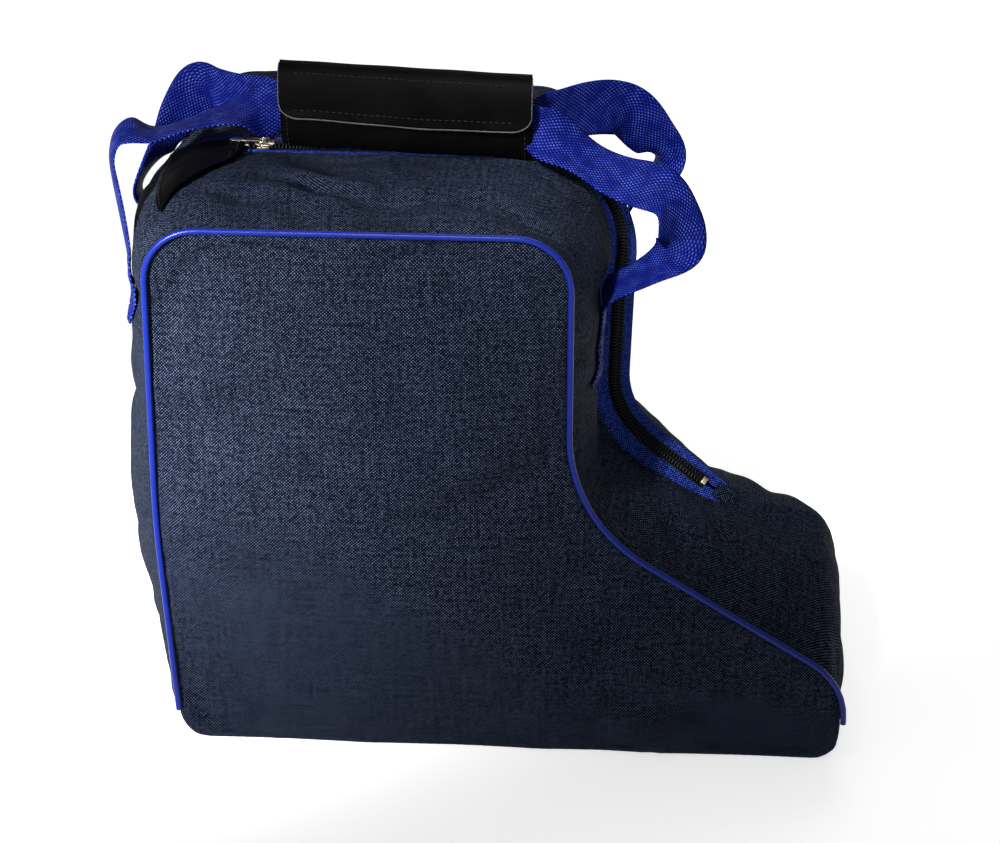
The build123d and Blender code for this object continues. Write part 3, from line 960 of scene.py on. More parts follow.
cloth_plan = {
    "near_panel": ("near_panel_cloth", ["near_side_panel"], ["near_front_cloth"]),
    "far_panel": ("far_panel_cloth", ["far_side_panel"], ["far_front_cloth"]),
    "base": ("base_cloth", ["bottom_panel"], ["base_board"]),
    "back": ("back_cloth", ["back_gusset"], ["near_panel_cloth"]),
    "near_mouth_back": ("near_mouth_back_cloth", ["near_mouth_panel"], ["near_panel_cloth"]),
    "near_mouth_front": ("near_mouth_front_cloth", ["near_mouth_panel"], ["near_panel_cloth"]),
    "far_mouth_back": ("far_mouth_back_cloth", ["far_mouth_panel"], ["far_panel_cloth"]),
    "far_mouth_front": ("far_mouth_front_cloth", ["far_mouth_panel"], ["far_panel_cloth"]),
    "near_front": ("near_front_cloth", ["near_front_gusset"], ["near_panel_cloth"]),
    "far_front": ("far_front_cloth", ["far_front_gusset"], ["far_panel_cloth"]),
    "toe": ("toe_cloth", ["toe_gusset"], ["near_panel_cloth"]),
}


def bend_mouth(piece, half):
    """Bake a mouth piece's placement into its mesh."""
    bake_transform(piece)


for region, (name, nodes, rests_on) in cloth_plan.items():
    piece = cut_out(shell, region, name)
    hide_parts(*nodes)
    if "mouth" in region:
        side, _, half = region.split("_")
        bend_mouth(piece, half)
    else:
        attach(piece, "bag")
bpy.data.objects.remove(shell)

# --------------------------------------------------------------- piping and inside seam
def seam_line(column, first, last, lift_out, lift_side):
    """Points beside a side seam: moved off it outwards from the gusset and sideways."""
    sign = -1 if column == 0 else 1
    points = []
    for s in range(first, last + 1):
        p = surface[s % LOOP, column]
        a, b = surface[(s - 1) % LOOP, column], surface[(s + 1) % LOOP, column]
        t = unit(b - a)
        out = unit(np.array([-t[2], 0, t[0]]))
        points.append(p + out * lift_out + np.array([0, sign * lift_side, 0]))
    return np.array(points)


PIPE_FIRST = int(piece_start[0] + piece_counts[0][0]) + 1
PIPE_LAST = int(piece_start[6]) - 6
for side, column in (("near", 0), ("far", COLUMNS - 1)):
    line = seam_line(column, PIPE_FIRST, PIPE_LAST, 1.1 * MM, 1.0 * MM)
    smooth_line = np.array([np.interp(np.linspace(0, len(line) - 1, 3 * len(line)), range(len(line)), line[:, k]) for k in range(3)]).T
    piping = tube(f"{side}_piping_bead", smooth_line, PIPING_R, (0, 1, 0), 14)
    dress(piping, PIPING)
    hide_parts(f"{side}_piping")
    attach(piping, "bag")

    sign = -1 if side == "near" else 1
    inside = seam_line(column, PIPE_FIRST, PIPE_LAST, -5.5 * MM, -2.6 * MM)
    below_mouth = inside[[i for i, p in enumerate(inside) if p[2] < 0.322]]
    back_part = below_mouth[below_mouth[:, 0] < -0.1]
    front_part = below_mouth[below_mouth[:, 0] > -0.1]
    parts = [
        ribbon(f"binding_{k}", part, np.gradient(part, axis=0)[:, [2, 1, 0]] * [-1, 0, 1], 7 * MM, 0.9 * MM)
        for k, part in enumerate((back_part, front_part))
    ]
    binding = join(f"{side}_inside_binding", parts)
    dress(binding, LINING)
    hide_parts(f"{side}_seam_binding")
    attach(binding, "bag")

# --------------------------------------------------------------------------------- zip
zip_spans = {
    "back": (S_COVER - 8, S_MOUTH_BACK),
    "top_back": (S_MOUTH_BACK, S_MOUTH_MIDDLE),
    "top_front": (S_MOUTH_MIDDLE, S_MOUTH_FRONT),
    "front": (S_MOUTH_FRONT, S_ZIP_END),
}
zip_nodes = {"back": "back", "top_back": "top", "top_front": "top", "front": "front"}


def zip_point(position, offset, lift):
    """Point on the zip at a loop position (which may be fractional)."""
    s = int(position)
    f = position - s
    centre_a, across_a, up_a = zip_frame(s)
    centre_b, across_b, up_b = zip_frame((s + 1) % LOOP)
    centre = centre_a + (centre_b - centre_a) * f
    across = unit(across_a + (across_b - across_a) * f)
    up = unit(up_a + (up_b - up_a) * f)
    p = settle(centre + across * offset + up * lift)[0]
    return p, across, up


def attach_zip(piece, span):
    if span.startswith("top"):
        bend_mouth(piece, span.split("_")[1])
    else:
        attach(piece, "bag")


def zip_tape(side, sign, span, first, last):
    """Woven tape from under the teeth to under the fabric's edge."""
    positions = np.linspace(first, last, 2 * (last - first) + 1)
    reach = np.interp(positions, index, zip_near if side == "near" else zip_far) + TAPE_UNDER
    shares = np.linspace(0, 1, 9)
    offsets = sign * (0.9 * MM + shares * (reach[:, None] - 0.9 * MM))
    rings = np.array(
        [
            [zip_point(p, o, -0.6 * MM)[0] for o in row] + [zip_point(p, o, -1.5 * MM)[0] for o in row[::-1]]
            for p, row in zip(positions, offsets)
        ]
    )
    count = rings.shape[1]
    faces = grid_faces(len(positions), count, closed=True)
    faces.append(tuple(range(count))[::-1])
    faces.append(tuple(range((len(positions) - 1) * count, len(positions) * count)))
    run = along(rings[:, 0])
    both = np.hstack([offsets, offsets[:, ::-1]]).ravel()
    uvs = [(run[v // count], both[v]) for f in faces for v in f]
    tape = new_object(f"{side}_tape_{span}", rings.reshape(-1, 3), faces, uvs)
    outward_normals(tape)
    return tape


def zip_teeth(side, sign, span, first, last):
    """Moulded teeth, each a rounded bar that reaches past the middle, and the coil's cord."""
    run = along(np.array([zip_point(p, 0, 0)[0] for p in np.linspace(first, last, 200)]))
    pitch = 2.1 * MM
    count = int(run[-1] / pitch)
    verts, faces = [], []
    for k in range(count):
        share = (k + (0.25 if sign < 0 else 0.75)) / count
        position = np.interp(share * run[-1], run, np.linspace(first, last, 200))
        ahead, _, _ = zip_point(min(position + 0.2, last), 0, 0)
        behind, _, _ = zip_point(max(position - 0.2, first), 0, 0)
        forward = unit(ahead - behind)
        for offset, half_length, low, high in ((-0.9, 0.52, 0.2, 1.3), (0.6, 0.62, 0.0, 2.1), (3.2, 0.55, 0.0, 1.9), (3.9, 0.35, -0.3, 0.9)):
            p, across, up = zip_point(position, sign * offset * MM, 0)
            for f, u in ((-1, low), (1, low), (0.75, high), (-0.75, high)):
                verts.append(p + forward * f * half_length * MM + up * (u * MM - 0.3 * MM))
        base = len(verts) - 16
        faces += [tuple(base + v for v in q) for q in grid_faces(4, 4, closed=True)]
        faces.append(tuple(base + v for v in range(4))[::-1])
        faces.append(tuple(base + v for v in range(12, 16)))
    # The black woven band the coil is sewn to
    positions = np.linspace(first, last, 2 * (last - first) + 1)
    base = len(verts)
    for p in positions:
        for offset, lift in ((1.0, -0.45), (4.5, -0.45), (4.5, -1.3), (1.0, -1.3)):
            verts.append(zip_point(p, sign * offset * MM, lift * MM)[0])
    faces += [tuple(base + v for v in q) for q in grid_faces(len(positions), 4, closed=True)]
    faces.append(tuple(base + v for v in range(4))[::-1])
    faces.append(tuple(base + 4 * len(positions) - 4 + v for v in range(4)))
    teeth = new_object(f"{side}_teeth_{span}", verts, faces, smooth_faces=False)
    outward_normals(teeth)
    return teeth


for side, sign in (("near", -1), ("far", 1)):
    for span, (first, last) in zip_spans.items():
        tape = dress(zip_tape(side, sign, span, first, last), TAPE)
        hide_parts(f"{side}_zip_tape_{zip_nodes[span]}")
        attach_zip(tape, span)
        teeth_first = S_COVER if span == "back" else first
        teeth_last = last - 3 if span == "front" else last
        teeth = dress(zip_teeth(side, sign, span, teeth_first, teeth_last), TEETH)
        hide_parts(f"{side}_zip_teeth_{zip_nodes[span]}")
        attach_zip(teeth, span)
        hem_first = S_COVER if span == "back" else first
        positions = np.linspace(hem_first, last, 3 * (last - hem_first))
        column = COLUMNS_EACH - 1 if side == "near" else COLUMNS_EACH + len(zip_t)
        edge_column = COLUMNS_EACH if side == "near" else COLUMNS_EACH + len(zip_t) - 1
        hem = np.array(
            [
                [np.interp(p, range(LOOP), surface[:, edge_column, k]) for k in range(3)]
                for p in positions
            ]
        )
        hem_in = np.array(
            [
                [np.interp(p, range(LOOP), surface[:, column, k]) for k in range(3)]
                for p in positions
            ]
        )
        hem_line = hem + units(hem_in - hem) * 2.2 * MM
        lifts = np.array([zip_point(p, 0, 0)[2] for p in positions])
        row = dress(stitches(f"{side}_hem_stitches_{span}", hem_line, lifts), THREAD_NAVY)
        attach_zip(row, span)

# Bottom and back stops, clamped over both tapes
for name, position in (("zip_front_stop", S_ZIP_END - 3.2), ("zip_back_stop", S_COVER + 0.3)):
    p, across, up = zip_point(position, 0, 0.9 * MM)
    ahead, _, _ = zip_point(position + 0.4, 0, 0.9 * MM)
    forward = unit(ahead - p)
    line = [p + forward * t * MM for t in np.linspace(-1.6, 1.6, 7)]
    stop = ribbon(f"{name}_clip", line, [across] * 7, 5.5 * MM, 1.6 * MM, 10, -0.3 * MM)
    dress(stop, METAL)
    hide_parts(name)
    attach(stop, "bag")


def loft(name, sections):
    """Closed solid through rings of points."""
    count = len(sections[0])
    faces = grid_faces(len(sections), count, closed=True)
    faces.append(tuple(range(count))[::-1])
    faces.append(tuple(range((len(sections) - 1) * count, len(sections) * count)))
    obj = new_object(name, np.array(sections).reshape(-1, 3), faces)
    outward_normals(obj)
    return obj


def plate(name, outline_xy, low, high, bevel=0.3 * MM):
    """Flat plate with softened edges: outline in x and y, from low to high in z."""
    outline_xy = np.array(outline_xy)
    middle = outline_xy.mean(0)
    sections = []
    for z, shrink in ((low, bevel), (low + bevel, 0), (high - bevel, 0), (high, bevel)):
        ring = outline_xy + units(middle - outline_xy) * shrink
        sections.append([(x, y, z) for x, y in ring])
    return loft(name, sections)


def rounded_rectangle(cx, cy, length, width, radius, steps=5):
    points = []
    for qx, qy, start in ((1, 1, 0), (-1, 1, 90), (-1, -1, 180), (1, -1, 270)):
        for k in range(steps + 1):
            a = math.radians(start + 90 * k / steps)
            points.append(
                (
                    cx + qx * (length / 2 - radius) + radius * math.cos(a),
                    cy + qy * (width / 2 - radius) + radius * math.sin(a),
                )
            )
    return points


def build_slider():
    """Die-cast slider: waisted upper and lower plates, side flanges, bail and bar."""
    low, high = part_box("zip_slider")
    x = (low.x + high.x) / 2
    outline = []
    for k in range(28):
        a = 2 * math.pi * k / 28
        half = 5.4 * MM * (0.80 + 0.20 * math.cos(a))
        outline.append((x + 6.2 * MM * math.cos(a), half * np.sign(math.sin(a)) * abs(math.sin(a)) ** 0.55))
    top_z = high.z - 3.4 * MM
    parts = [
        plate("upper", outline, top_z, top_z + 1.3 * MM, 0.4 * MM),
        plate("lower", outline, low.z, low.z + 1.2 * MM, 0.4 * MM),
        plate("post", rounded_rectangle(x + 3.4 * MM, 0, 3 * MM, 1.0 * MM, 0.4 * MM), low.z + 1 * MM, top_z + 0.2 * MM),
    ]
    for sign in (-1, 1):
        flange = rounded_rectangle(x, sign * 4.9 * MM, 7.5 * MM, 0.9 * MM, 0.4 * MM)
        parts.append(plate("flange", flange, top_z - 1.4 * MM, top_z + 0.2 * MM))
        arch = [
            (x + 1.5 * MM * math.cos(a) * 1.5, sign * 3.9 * MM, top_z + 1.1 * MM + 1.9 * MM * math.sin(a))
            for a in np.linspace(0, math.pi, 9)
        ]
        parts.append(tube("bail", arch, 0.55 * MM, (0, 1, 0), 8))
    bar = [(x, t * MM, high.z - 0.9 * MM) for t in (-4.2, 0, 4.2)]
    parts.append(tube("bar", bar, 0.55 * MM, (1, 0, 0), 10))
    slider = dress(join("slider_casting", parts), METAL)
    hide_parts("zip_slider")
    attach(slider, "zip_slider")


def build_pull():
    """Stamped pull: a tapered tab with an eye round the bar."""
    low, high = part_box("zip_pull")
    eye = Vector((high.x - 1.15 * MM, 0, (low.z + high.z) / 2))
    rings = []
    for t in np.linspace(0, 1, 15):
        x = eye.x - 1.2 * MM - t * 19.6 * MM
        half = (2.1 + 0.8 * math.sin(math.pi * min(1.0, t * 1.05)) + 0.5 * t) * MM
        half *= 1 if t < 0.9 else math.sqrt(max(0.02, 1 - ((t - 0.9) / 0.1) ** 2))
        lift = 0.35 * MM * math.sin(math.pi * t)
        section = []
        for a in np.arange(12) * math.pi / 6:
            section.append((x, half * math.cos(a), eye.z + lift + 0.62 * MM * math.sin(a) * (1 if t < 0.93 else 0.7)))
        rings.append(section)
    tab = loft("tab", rings)
    loop = [
        (eye.x + 0.95 * MM * math.cos(a), 0, eye.z + 0.95 * MM * math.sin(a)) for a in np.linspace(0.35, 2 * math.pi - 0.35, 15)
    ]
    eye_ring = ribbon("eye", loop, [(0, 1, 0)] * 15, 4.2 * MM, 0.5 * MM, 4)
    pull = dress(join("pull_tab", [tab, eye_ring]), METAL)
    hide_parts("zip_pull")
    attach(pull, "zip_pull")


build_slider()
build_pull()


def surface_at(s, column):
    """Point and outward direction of the shell at a grid place (fractions allowed)."""
    s0, c0 = int(s), int(column)
    fs, fc = s - s0, column - c0
    def corner(i, j):
        return surface[(s0 + i) % LOOP, min(c0 + j, COLUMNS - 1)]
    p = (corner(0, 0) * (1 - fs) + corner(1, 0) * fs) * (1 - fc) + (corner(0, 1) * (1 - fs) + corner(1, 1) * fs) * fc
    ds = corner(1, 0) - corner(0, 0)
    dc = corner(0, 1) - corner(0, 0)
    return p, unit(np.cross(dc, ds)) * -1


def build_cover():
    """Vinyl cover over the back end of the zip, with a stitched border and a curled edge."""
    rows, columns = 15, 17
    x_low, x_high = -0.200, -0.157
    points, outs = [], []
    for i in range(rows):
        for j in range(columns):
            u, v = i / (rows - 1), j / (columns - 1)
            y_low = -0.086 + 0.048 * u
            y = y_low + (-0.002 - y_low) * v
            x = x_low + (x_high - x_low) * u
            s = float(np.interp(x, crown[piece_start[2]:S_COVER + 2, 0], range(int(piece_start[2]), S_COVER + 2)))
            column = float(np.interp(y, surface[int(s), :, 1], range(COLUMNS)))
            p, out = surface_at(s, column)
            curl = 2.5 * MM * smooth((0.22 - v) / 0.22) * u + 1.2 * MM * math.sin(3.1 * u + 5 * v) ** 2
            points.append(p + out * (1.6 * MM + curl))
            outs.append(out)
    faces = grid_faces(rows, columns)
    uvs = [((v // columns) * 3 * MM, (v % columns) * 4 * MM) for f in faces for v in f]
    cover = new_object("zip_cover_patch", points, faces, uvs)
    outward_normals(cover)
    thick = cover.modifiers.new("thickness", "SOLIDIFY")
    thick.thickness = 1.2 * MM
    thick.offset = 0
    soft = cover.modifiers.new("soft", "SUBSURF")
    soft.levels = soft.render_levels = 1
    apply_modifiers(cover)
    dress(cover, VINYL)
    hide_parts("zip_end_cover")
    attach(cover, "bag")
    grid = np.array(points).reshape(rows, columns, 3)
    out_grid = np.array(outs).reshape(rows, columns, 3)
    border = [(1, j) for j in range(1, columns - 1)] + [(i, columns - 2) for i in range(1, rows - 1)]
    border += [(rows - 2, j) for j in range(columns - 2, 0, -1)]
    line = [grid[i, j] + out_grid[i, j] * 0.7 * MM for i, j in border]
    normals = [out_grid[i, j] for i, j in border]
    row = dress(stitches("cover_stitches", line, normals, 3.0 * MM, 2.0 * MM, 0.3 * MM), THREAD_BLACK)
    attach(row, "bag")


build_cover()


def build_end_tab():
    """Folded fabric tab that closes the lower end of the zip."""
    line, acrosses, ups = [], [], []
    for k in np.linspace(-1.8, 0.8, 8):
        p, across, up = zip_point(S_ZIP_END + k, 0, 1.6 * MM)
        line.append(p)
        acrosses.append(across)
        ups.append(up)
    tab = ribbon("zip_tab", line, acrosses, 10 * MM, 1.2 * MM, 8, -0.5 * MM)
    dress(tab, NAVY)
    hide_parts("zip_end_tab")
    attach(tab, "bag")


build_end_tab()

# ----------------------------------------------------------------------------- handles
def spline(frames, count):
    """Places and directions along a smooth (Catmull-Rom) curve through control frames."""
    v = np.array([[*place, *direction] for place, direction in frames], float)
    padded = np.vstack([2 * v[0] - v[1], v, 2 * v[-1] - v[-2]])
    chord = np.linalg.norm(np.diff(padded[:, :3], axis=0), axis=1) ** 0.5
    knots = np.concatenate([[0], np.cumsum(chord)])
    out = []
    for t in np.linspace(knots[1], knots[-2], count):
        i = int(np.clip(np.searchsorted(knots, t, side="right") - 1, 1, len(v) - 1))
        t0, t1, t2, t3 = knots[i - 1 : i + 3]
        p0, p1, p2, p3 = padded[i - 1 : i + 3]
        a1 = (t1 - t) / (t1 - t0) * p0 + (t - t0) / (t1 - t0) * p1
        a2 = (t2 - t) / (t2 - t1) * p1 + (t - t1) / (t2 - t1) * p2
        a3 = (t3 - t) / (t3 - t2) * p2 + (t - t2) / (t3 - t2) * p3
        b1 = (t2 - t) / (t2 - t0) * a1 + (t - t0) / (t2 - t0) * a2
        b2 = (t3 - t) / (t3 - t1) * a2 + (t - t1) / (t3 - t1) * a3
        out.append((t2 - t) / (t2 - t1) * b1 + (t - t1) / (t2 - t1) * b2)
    out = np.array(out)
    return out[:, :3], units(out[:, 3:])


# Control frames of each slack stretch from the grip to the sewn end: place and width
# direction. The webbing stands upright in the grip and lies flat against the shell.
STRAPS = {
    ("near", "back"): [
        ((-0.124, -0.017, 0.3695), (0, 0.02, 1)),
        ((-0.139, -0.021, 0.370), (-0.05, 0.50, 0.85)),
        ((-0.153, -0.024, 0.371), (-0.15, 0.95, 0.20)),
        ((-0.181, -0.030, 0.365), (-0.17, 0.97, -0.12)),
        ((-0.202, -0.036, 0.360), (-0.19, 0.97, -0.12)),
        ((-0.213, -0.040, 0.364), (-0.17, 0.97, 0.10)),
        ((-0.222, -0.042, 0.361), (-0.23, 0.97, 0.02)),
        ((-0.226, -0.045, 0.350), (-0.26, 0.95, -0.12)),
        ((-0.225, -0.047, 0.338), (-0.30, 0.92, -0.18)),
        ((-0.222, -0.050, 0.320), (-0.32, 0.92, -0.12)),
        ((-0.219, -0.053, 0.300), (-0.30, 0.95, -0.04)),
        ((-0.217, -0.055, 0.282), (-0.24, 0.97, 0)),
        ((-0.217, -0.056, 0.256), (-0.24, 0.97, 0)),
    ],
    ("far", "back"): [
        ((-0.124, -0.011, 0.368), (0, 0.0, 1)),
        ((-0.140, 0.000, 0.366), (0, 0.0, 1)),
        ((-0.157, 0.012, 0.363), (-0.01, 0.00, 1.00)),
        ((-0.175, 0.027, 0.362), (-0.08, 0.00, 1.00)),
        ((-0.185, 0.036, 0.365), (-0.35, 0.00, 0.94)),
        ((-0.191, 0.038, 0.359), (-0.46, -0.22, 0.85)),
        ((-0.199, 0.037, 0.345), (-0.62, -0.32, 0.72)),
        ((-0.207, 0.034, 0.331), (-0.42, -0.69, 0.59)),
        ((-0.221, 0.034, 0.315), (-0.08, -0.97, 0.25)),
        ((-0.231, 0.040, 0.296), (0.15, -0.96, 0.16)),
        ((-0.226, 0.046, 0.277), (0.24, -0.96, 0.05)),
        ((-0.222, 0.049, 0.250), (0.24, -0.97, 0)),
    ],
    ("near", "front"): [
        ((0.007, -0.016, 0.3665), (0, 0.02, 1)),
        ((0.023, -0.021, 0.359), (-0.03, 0.50, 0.86)),
        ((0.038, -0.023, 0.350), (-0.09, 0.86, 0.50)),
        ((0.054, -0.027, 0.341), (-0.12, 0.89, 0.42)),
        ((0.069, -0.032, 0.336), (-0.08, 0.86, 0.50)),
        ((0.086, -0.036, 0.333), (0.03, 0.80, 0.60)),
        ((0.096, -0.040, 0.327), (0.36, 0.84, 0.40)),
        ((0.100, -0.042, 0.315), (0.70, 0.66, 0.28)),
        ((0.1015, -0.043, 0.3045), (0.87, 0.42, 0.15)),
        ((0.0975, -0.046, 0.2965), (0.66, -0.64, -0.10)),
        ((0.087, -0.049, 0.290), (0.26, -0.96, -0.10)),
        ((0.076, -0.051, 0.284), (0.16, -0.98, -0.05)),
        ((0.061, -0.053, 0.277), (0.14, -0.98, -0.03)),
        ((0.053, -0.055, 0.264), (0.12, -0.99, 0)),
        ((0.051, -0.057, 0.240), (0.12, -0.99, 0)),
        ((0.051, -0.058, 0.222), (0.12, -0.99, 0)),
    ],
    ("far", "front"): [
        ((0.007, -0.011, 0.364), (0, 0.0, 1)),
        ((0.024, 0.000, 0.362), (-0.02, -0.12, 1)),
        ((0.044, 0.016, 0.362), (-0.08, -0.05, 0.99)),
        ((0.059, 0.028, 0.359), (-0.02, 0.00, 1.00)),
        ((0.070, 0.036, 0.353), (0.28, -0.05, 0.95)),
        ((0.081, 0.042, 0.338), (0.55, -0.25, 0.77)),
        ((0.091, 0.046, 0.325), (0.66, -0.55, 0.50)),
        ((0.091, 0.048, 0.314), (0.48, -0.86, 0.10)),
        ((0.083, 0.050, 0.304), (0.14, -0.99, 0)),
        ((0.072, 0.052, 0.292), (0.02, -1.0, 0)),
        ((0.068, 0.053, 0.270), (-0.15, -0.98, 0)),
        ((0.066, 0.053, 0.240), (-0.15, -0.98, 0)),
    ],
}


rows_of_shell = [[tuple(p) for p in row] for row in surface[:BASE_START]]
shell_tree = BVHTree.FromPolygons(
    [p for row in rows_of_shell for p in row], grid_faces(len(rows_of_shell), COLUMNS)
)
tree_side = np.sign(shell_tree.find_nearest(Vector((-0.06, 0, 0.5)))[1].z)


def lay_on_shell(strap, columns, gap):
    """Ease the strap's kinks and move it clear of the shell; gives back its middle line."""
    co = coordinates(strap).reshape(-1, 2 * (columns + 1), 3)
    for _ in range(8):
        co[1:-1] = (co[:-2] + 2 * co[1:-1] + co[2:]) / 4
    for row in co:
        for j in range(columns + 1):
            k = len(row) - 1 - j
            middle = (row[j] + row[k]) / 2
            spot, normal, _, distance = shell_tree.find_nearest(Vector(middle))
            normal = np.array(normal) * tree_side
            clear = (middle - np.array(spot)) @ normal
            if distance < 0.02 and clear < gap:
                row[j] += normal * (gap - clear)
                row[k] += normal * (gap - clear)
    strap.data.vertices.foreach_set("co", co.ravel())
    half = columns // 2
    return (co[:, half] + co[:, len(co[0]) - 1 - half]) / 2


for (side, end), frames in STRAPS.items():
    count = 110
    centres, acrosses = spline(frames, count)
    widths = WEBBING_WIDTH * (0.6 + 0.4 * smooth(np.arange(count) / 9))  # gathered in the grip
    strap = ribbon(f"{side}_{end}_webbing", centres, acrosses, widths, WEBBING_THICK, 12, 1.0 * MM)
    centres = lay_on_shell(strap, 12, 1.6 * MM)
    dress(strap, WEBBING)
    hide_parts(f"{side}_handle_{end}", f"{side}_{end}_handle_anchor")
    anchor_top = 0.285 if end == "back" else 0.270
    x = centres[0][0]
    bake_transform(strap)

    # Box of stitches that holds the sewn end down
    low_end = np.array([c for c in centres if c[2] < anchor_top - 8 * MM])
    middle = low_end.mean(0)
    strap_faces = [tuple(f.vertices) for f in strap.data.polygons]
    strap_tree = BVHTree.FromPolygons([tuple(v.co) for v in strap.data.vertices], strap_faces)
    across = unit(np.array(frames[-1][1], float))
    out = unit(np.array([-1.0 if end == "back" else 1.0, 0, 0]) - across * (across @ np.array([-1.0 if end == "back" else 1.0, 0, 0])))
    half_w, half_h = 12.5 * MM, 9 * MM
    face = middle + out * (WEBBING_THICK / 2 + 0.5 * MM)
    corners = [(-1, -1), (1, -1), (1, 1), (-1, 1), (-1, -1), (1, 1), (1, -1), (-1, 1)]
    rows = []
    for k in range(len(corners) - 1):
        ends = [face + across * half_w * c[0] + np.array([0, 0, half_h * c[1]]) for c in corners[k : k + 2]]
        line = [ends[0] + (ends[1] - ends[0]) * t for t in np.linspace(0, 1, 6)]
        hits = [strap_tree.ray_cast(Vector(p + out * 0.03), Vector(-out), 0.06)[0] for p in line]
        line = [np.array(h) for h in hits if h is not None]
        if len(line) < 2:
            continue
        rows.append(stitches("row", line, out, 2.8 * MM, 2.0 * MM, 0.35 * MM))
    box = dress(join(f"{side}_{end}_box_stitch", rows), THREAD_BLUE)
    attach(box, "bag")

# -------------------------------------------------------------------------------- grip
wrap_low, wrap_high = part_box("grip_wrap")
GRIP_X = (wrap_low.x, wrap_high.x)
GRIP_Y = (wrap_low.y + wrap_high.y) / 2
GRIP_Z = (wrap_low.z + wrap_high.z) / 2 - 2 * MM
GRIP_HALF_Z = (wrap_high.z - wrap_low.z) / 2
GRIP_HALF_Y = (wrap_high.y - wrap_low.y) / 2


GRIP_SLOPE = -0.043  # the grip hangs a little lower at its toe end


def ride_grip(obj, body):
    """Lean a piece of the grip and parent it to its body; flap pieces are only baked in place."""
    for v in obj.data.vertices:
        v.co.z += GRIP_SLOPE * (v.co.x - (GRIP_X[0] + GRIP_X[1]) / 2)
    if body == "flap_bend":
        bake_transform(obj)
    else:
        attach(obj, body)


def grip_ring(x, grow, count=44):
    """Cross-section of the sleeve: a flat oval, squarer at its ends than an ellipse."""
    ring = []
    for k in range(count):
        a = 2 * math.pi * k / count
        c, s = math.cos(a), math.sin(a)
        y = (GRIP_HALF_Y + grow) * np.sign(c) * abs(c) ** 0.75
        z = (GRIP_HALF_Z + grow) * np.sign(s) * abs(s) ** 0.8
        ring.append((x, GRIP_Y + y, GRIP_Z + z))
    return np.array(ring)


def build_sleeve():
    stations = np.linspace(GRIP_X[0], GRIP_X[1], 40)
    outer, inner = [], []
    for x in stations:
        end = 1 - smooth(min(x - GRIP_X[0], GRIP_X[1] - x) / 0.004)
        ripple = 0.35 * MM * math.sin(90 * x) + 0.25 * MM * math.sin(210 * x + 1)
        outer.append(grip_ring(x, ripple - 0.6 * MM * end))
        inner.append(grip_ring(x, -2.0 * MM))
    sections = outer + inner[::-1]
    count = len(outer[0])
    faces = grid_faces(len(sections), count, closed=True)
    last = (len(sections) - 1) * count
    for j in range(count):
        k = (j + 1) % count
        faces.append((last + j, last + k, k, j))
    sleeve = new_object("grip_sleeve", np.array(sections).reshape(-1, 3), faces)
    outward_normals(sleeve)
    dress(sleeve, VINYL)
    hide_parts("grip_wrap")
    ride_grip(sleeve, "grip")
    return sleeve


FLAP_GROW = 2.6 * MM
flap_low, flap_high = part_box("grip_flap")


def flap_line(x, drop, grow):
    """Point on the flap: drop is the distance from the crest, down its near side."""
    angles = np.linspace(90, 250, 200)
    ring = []
    for a in angles:
        c, s = math.cos(math.radians(a)), math.sin(math.radians(a))
        ring.append(
            (
                GRIP_Y + (GRIP_HALF_Y + grow) * np.sign(c) * abs(c) ** 0.75,
                GRIP_Z + (GRIP_HALF_Z + grow) * np.sign(s) * abs(s) ** 0.8,
            )
        )
    ring = np.array(ring)
    run = along(ring)
    y, z = np.interp(drop, run, ring[:, 0]), np.interp(drop, run, ring[:, 1])
    ahead = np.array([np.interp(drop + 1e-4, run, ring[:, k]) - np.interp(drop - 1e-4, run, ring[:, k]) for k in (0, 1)])
    t = unit(ahead)
    return np.array([x, y, z]), np.array([0, -t[1] * -1, t[0] * -1]) * np.array([0, -1, -1]) * -1


def flap_drop(x):
    """How far down the flap reaches: straight, with rounded corners at its two ends."""
    full = 37.5 * MM
    corner = 11 * MM
    from_end = min(x - GRIP_X[0], GRIP_X[1] - x)
    if from_end >= corner:
        return full
    return full - corner + math.sqrt(max(0.0, corner**2 - (corner - from_end) ** 2))


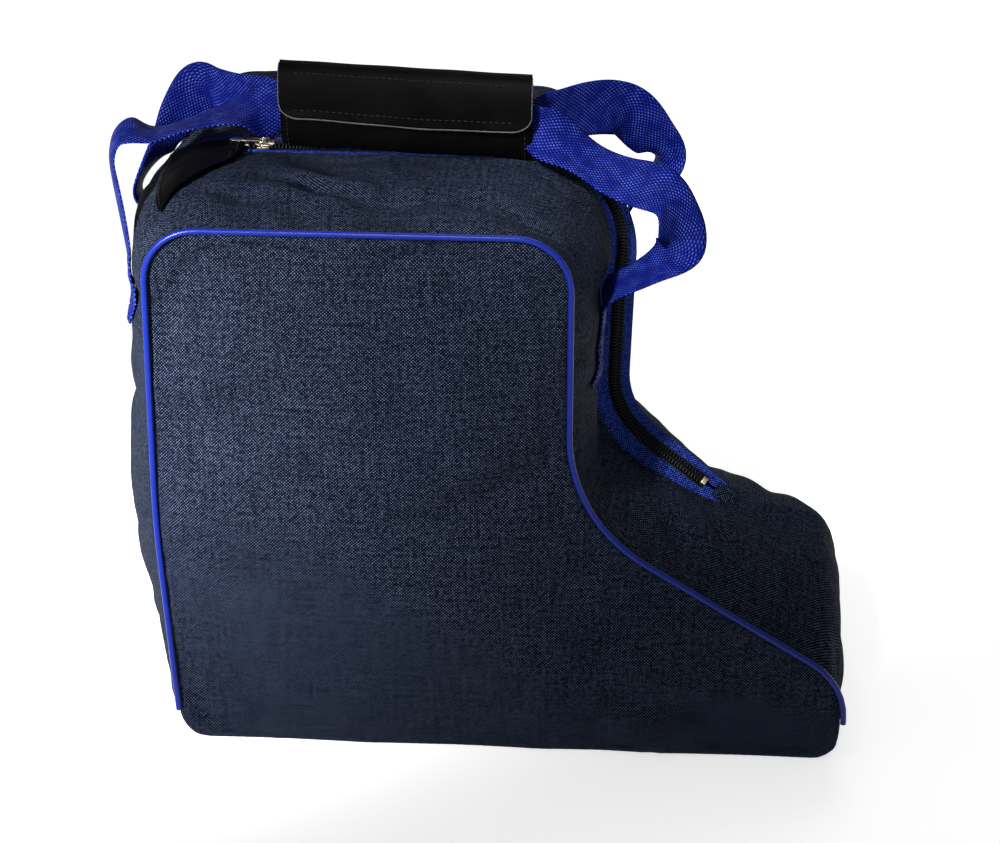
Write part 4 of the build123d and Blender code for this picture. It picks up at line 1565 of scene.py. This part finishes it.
def build_flap():
    xs = np.concatenate(
        [
            GRIP_X[0] + 11 * MM * (1 - np.cos(np.linspace(0, math.pi / 2, 9)[:-1])),
            np.linspace(GRIP_X[0] + 11 * MM, GRIP_X[1] - 11 * MM, 34),
            (GRIP_X[1] - 11 * MM * (1 - np.cos(np.linspace(0, math.pi / 2, 9)[:-1])))[::-1],
        ]
    )
    rows = 26
    grid, lower = [], []
    for x in xs:
        reach = max(flap_drop(x), 24 * MM)
        column = []
        for k in range(rows):
            drop = reach * k / (rows - 1)
            wave = 0.35 * MM * math.sin(55 * x + 1.3) * smooth(drop / 0.03) + 0.12 * MM * math.sin(160 * x)
            lip = 0.9 * MM * smooth((drop - 0.030) / 0.008) * (0.7 + 0.3 * math.sin(38 * x))
            p, out = flap_line(x, drop, FLAP_GROW + wave + lip)
            column.append(p)
        grid.append(column)
        lower.append(column[-1])
    grid = np.array(grid)
    faces = grid_faces(len(xs), rows)
    flap = new_object("grip_cover_flap", grid.reshape(-1, 3), faces)
    outward_normals(flap)
    thick = flap.modifiers.new("thickness", "SOLIDIFY")
    thick.thickness = 1.7 * MM
    thick.offset = 0
    soft = flap.modifiers.new("soft", "SUBSURF")
    soft.levels = soft.render_levels = 1
    apply_modifiers(flap)
    dress(flap, VINYL)
    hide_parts("grip_flap")
    ride_grip(flap, "flap_bend")

    edge = np.vstack([grid[0, 3:], np.array(lower)[1:-1], grid[-1, 3:][::-1]])
    edge_bead = tube("flap_raw_edge", edge + [0, -0.25 * MM, -0.15 * MM], 0.5 * MM, (0, 1, 0), 8)
    dress(edge_bead, RAW_EDGE)
    ride_grip(edge_bead, "flap_bend")

    rows_of_stitches = []
    for drop in (11 * MM, 33.0 * MM):
        line, normals = [], []
        for x in np.linspace(GRIP_X[0] + 8 * MM, GRIP_X[1] - 8 * MM, 60):
            wave = 0.35 * MM * math.sin(55 * x + 1.3) * smooth(drop / 0.03) + 0.12 * MM * math.sin(160 * x)
            lip = 0.9 * MM * smooth((drop - 0.030) / 0.008) * (0.7 + 0.3 * math.sin(38 * x))
            p, _ = flap_line(x, drop, FLAP_GROW + 1.0 * MM + wave + lip)
            normals.append(unit(p - np.array([x, GRIP_Y, np.clip(p[2], GRIP_Z - 15 * MM, GRIP_Z + 15 * MM)])))
            line.append(p)
        rows_of_stitches.append(stitches("row", line, normals, 3.6 * MM, 2.5 * MM, 0.36 * MM))
    seam = dress(join("flap_stitches", rows_of_stitches), THREAD_BLACK)
    ride_grip(seam, "flap_bend")


sleeve = build_sleeve()
build_flap()

# Edge stitching on the sleeve itself, near its two ends
sleeve_rows = []
for x in (GRIP_X[0] + 4 * MM, GRIP_X[1] - 4 * MM):
    ring = grip_ring(x, 0.5 * MM, 44)
    ring = np.vstack([ring, ring[:1]])
    normals = units(ring - np.array([x, GRIP_Y, GRIP_Z]))
    sleeve_rows.append(stitches("row", ring, normals, 3.4 * MM, 2.3 * MM, 0.33 * MM))
sleeve_thread = dress(join("sleeve_stitches", sleeve_rows), THREAD_BLACK)
ride_grip(sleeve_thread, "grip")

for node, body in (("loop_strip", "grip"), ("hook_strip", "grip_flap")):
    low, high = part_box(node)
    y = (low.y + high.y) / 2 + (0.9 * MM if node == "hook_strip" else 0)  # clear of the wavy flap
    xs = np.linspace(low.x, high.x, 30)
    z = (low.z + high.z) / 2 + 2 * MM
    strip = ribbon(f"{node}_pile", [(x, y, z) for x in xs], [(0, 0, 1)] * 30, high.z - low.z - 4 * MM, 0.9 * MM, 6)
    dress(strip, FUZZ)
    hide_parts(node)
    ride_grip(strip, body)

for side in ("near", "far"):
    low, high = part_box(f"{side}_handle_grip")
    xs = np.linspace(low.x, high.x, 24)
    y = (low.y + high.y) / 2
    z = 0.367
    inside = ribbon(f"{side}_grip_webbing", [(x, y, z) for x in xs], [(0, 0, 1)] * 24, WEBBING_WIDTH, WEBBING_THICK, 8)
    dress(inside, WEBBING)
    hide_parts(f"{side}_handle_grip")
    ride_grip(inside, "grip")

# The base board keeps its CAD shape
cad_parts["base_board"].data.materials.clear()
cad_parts["base_board"].data.materials.append(BOARD)
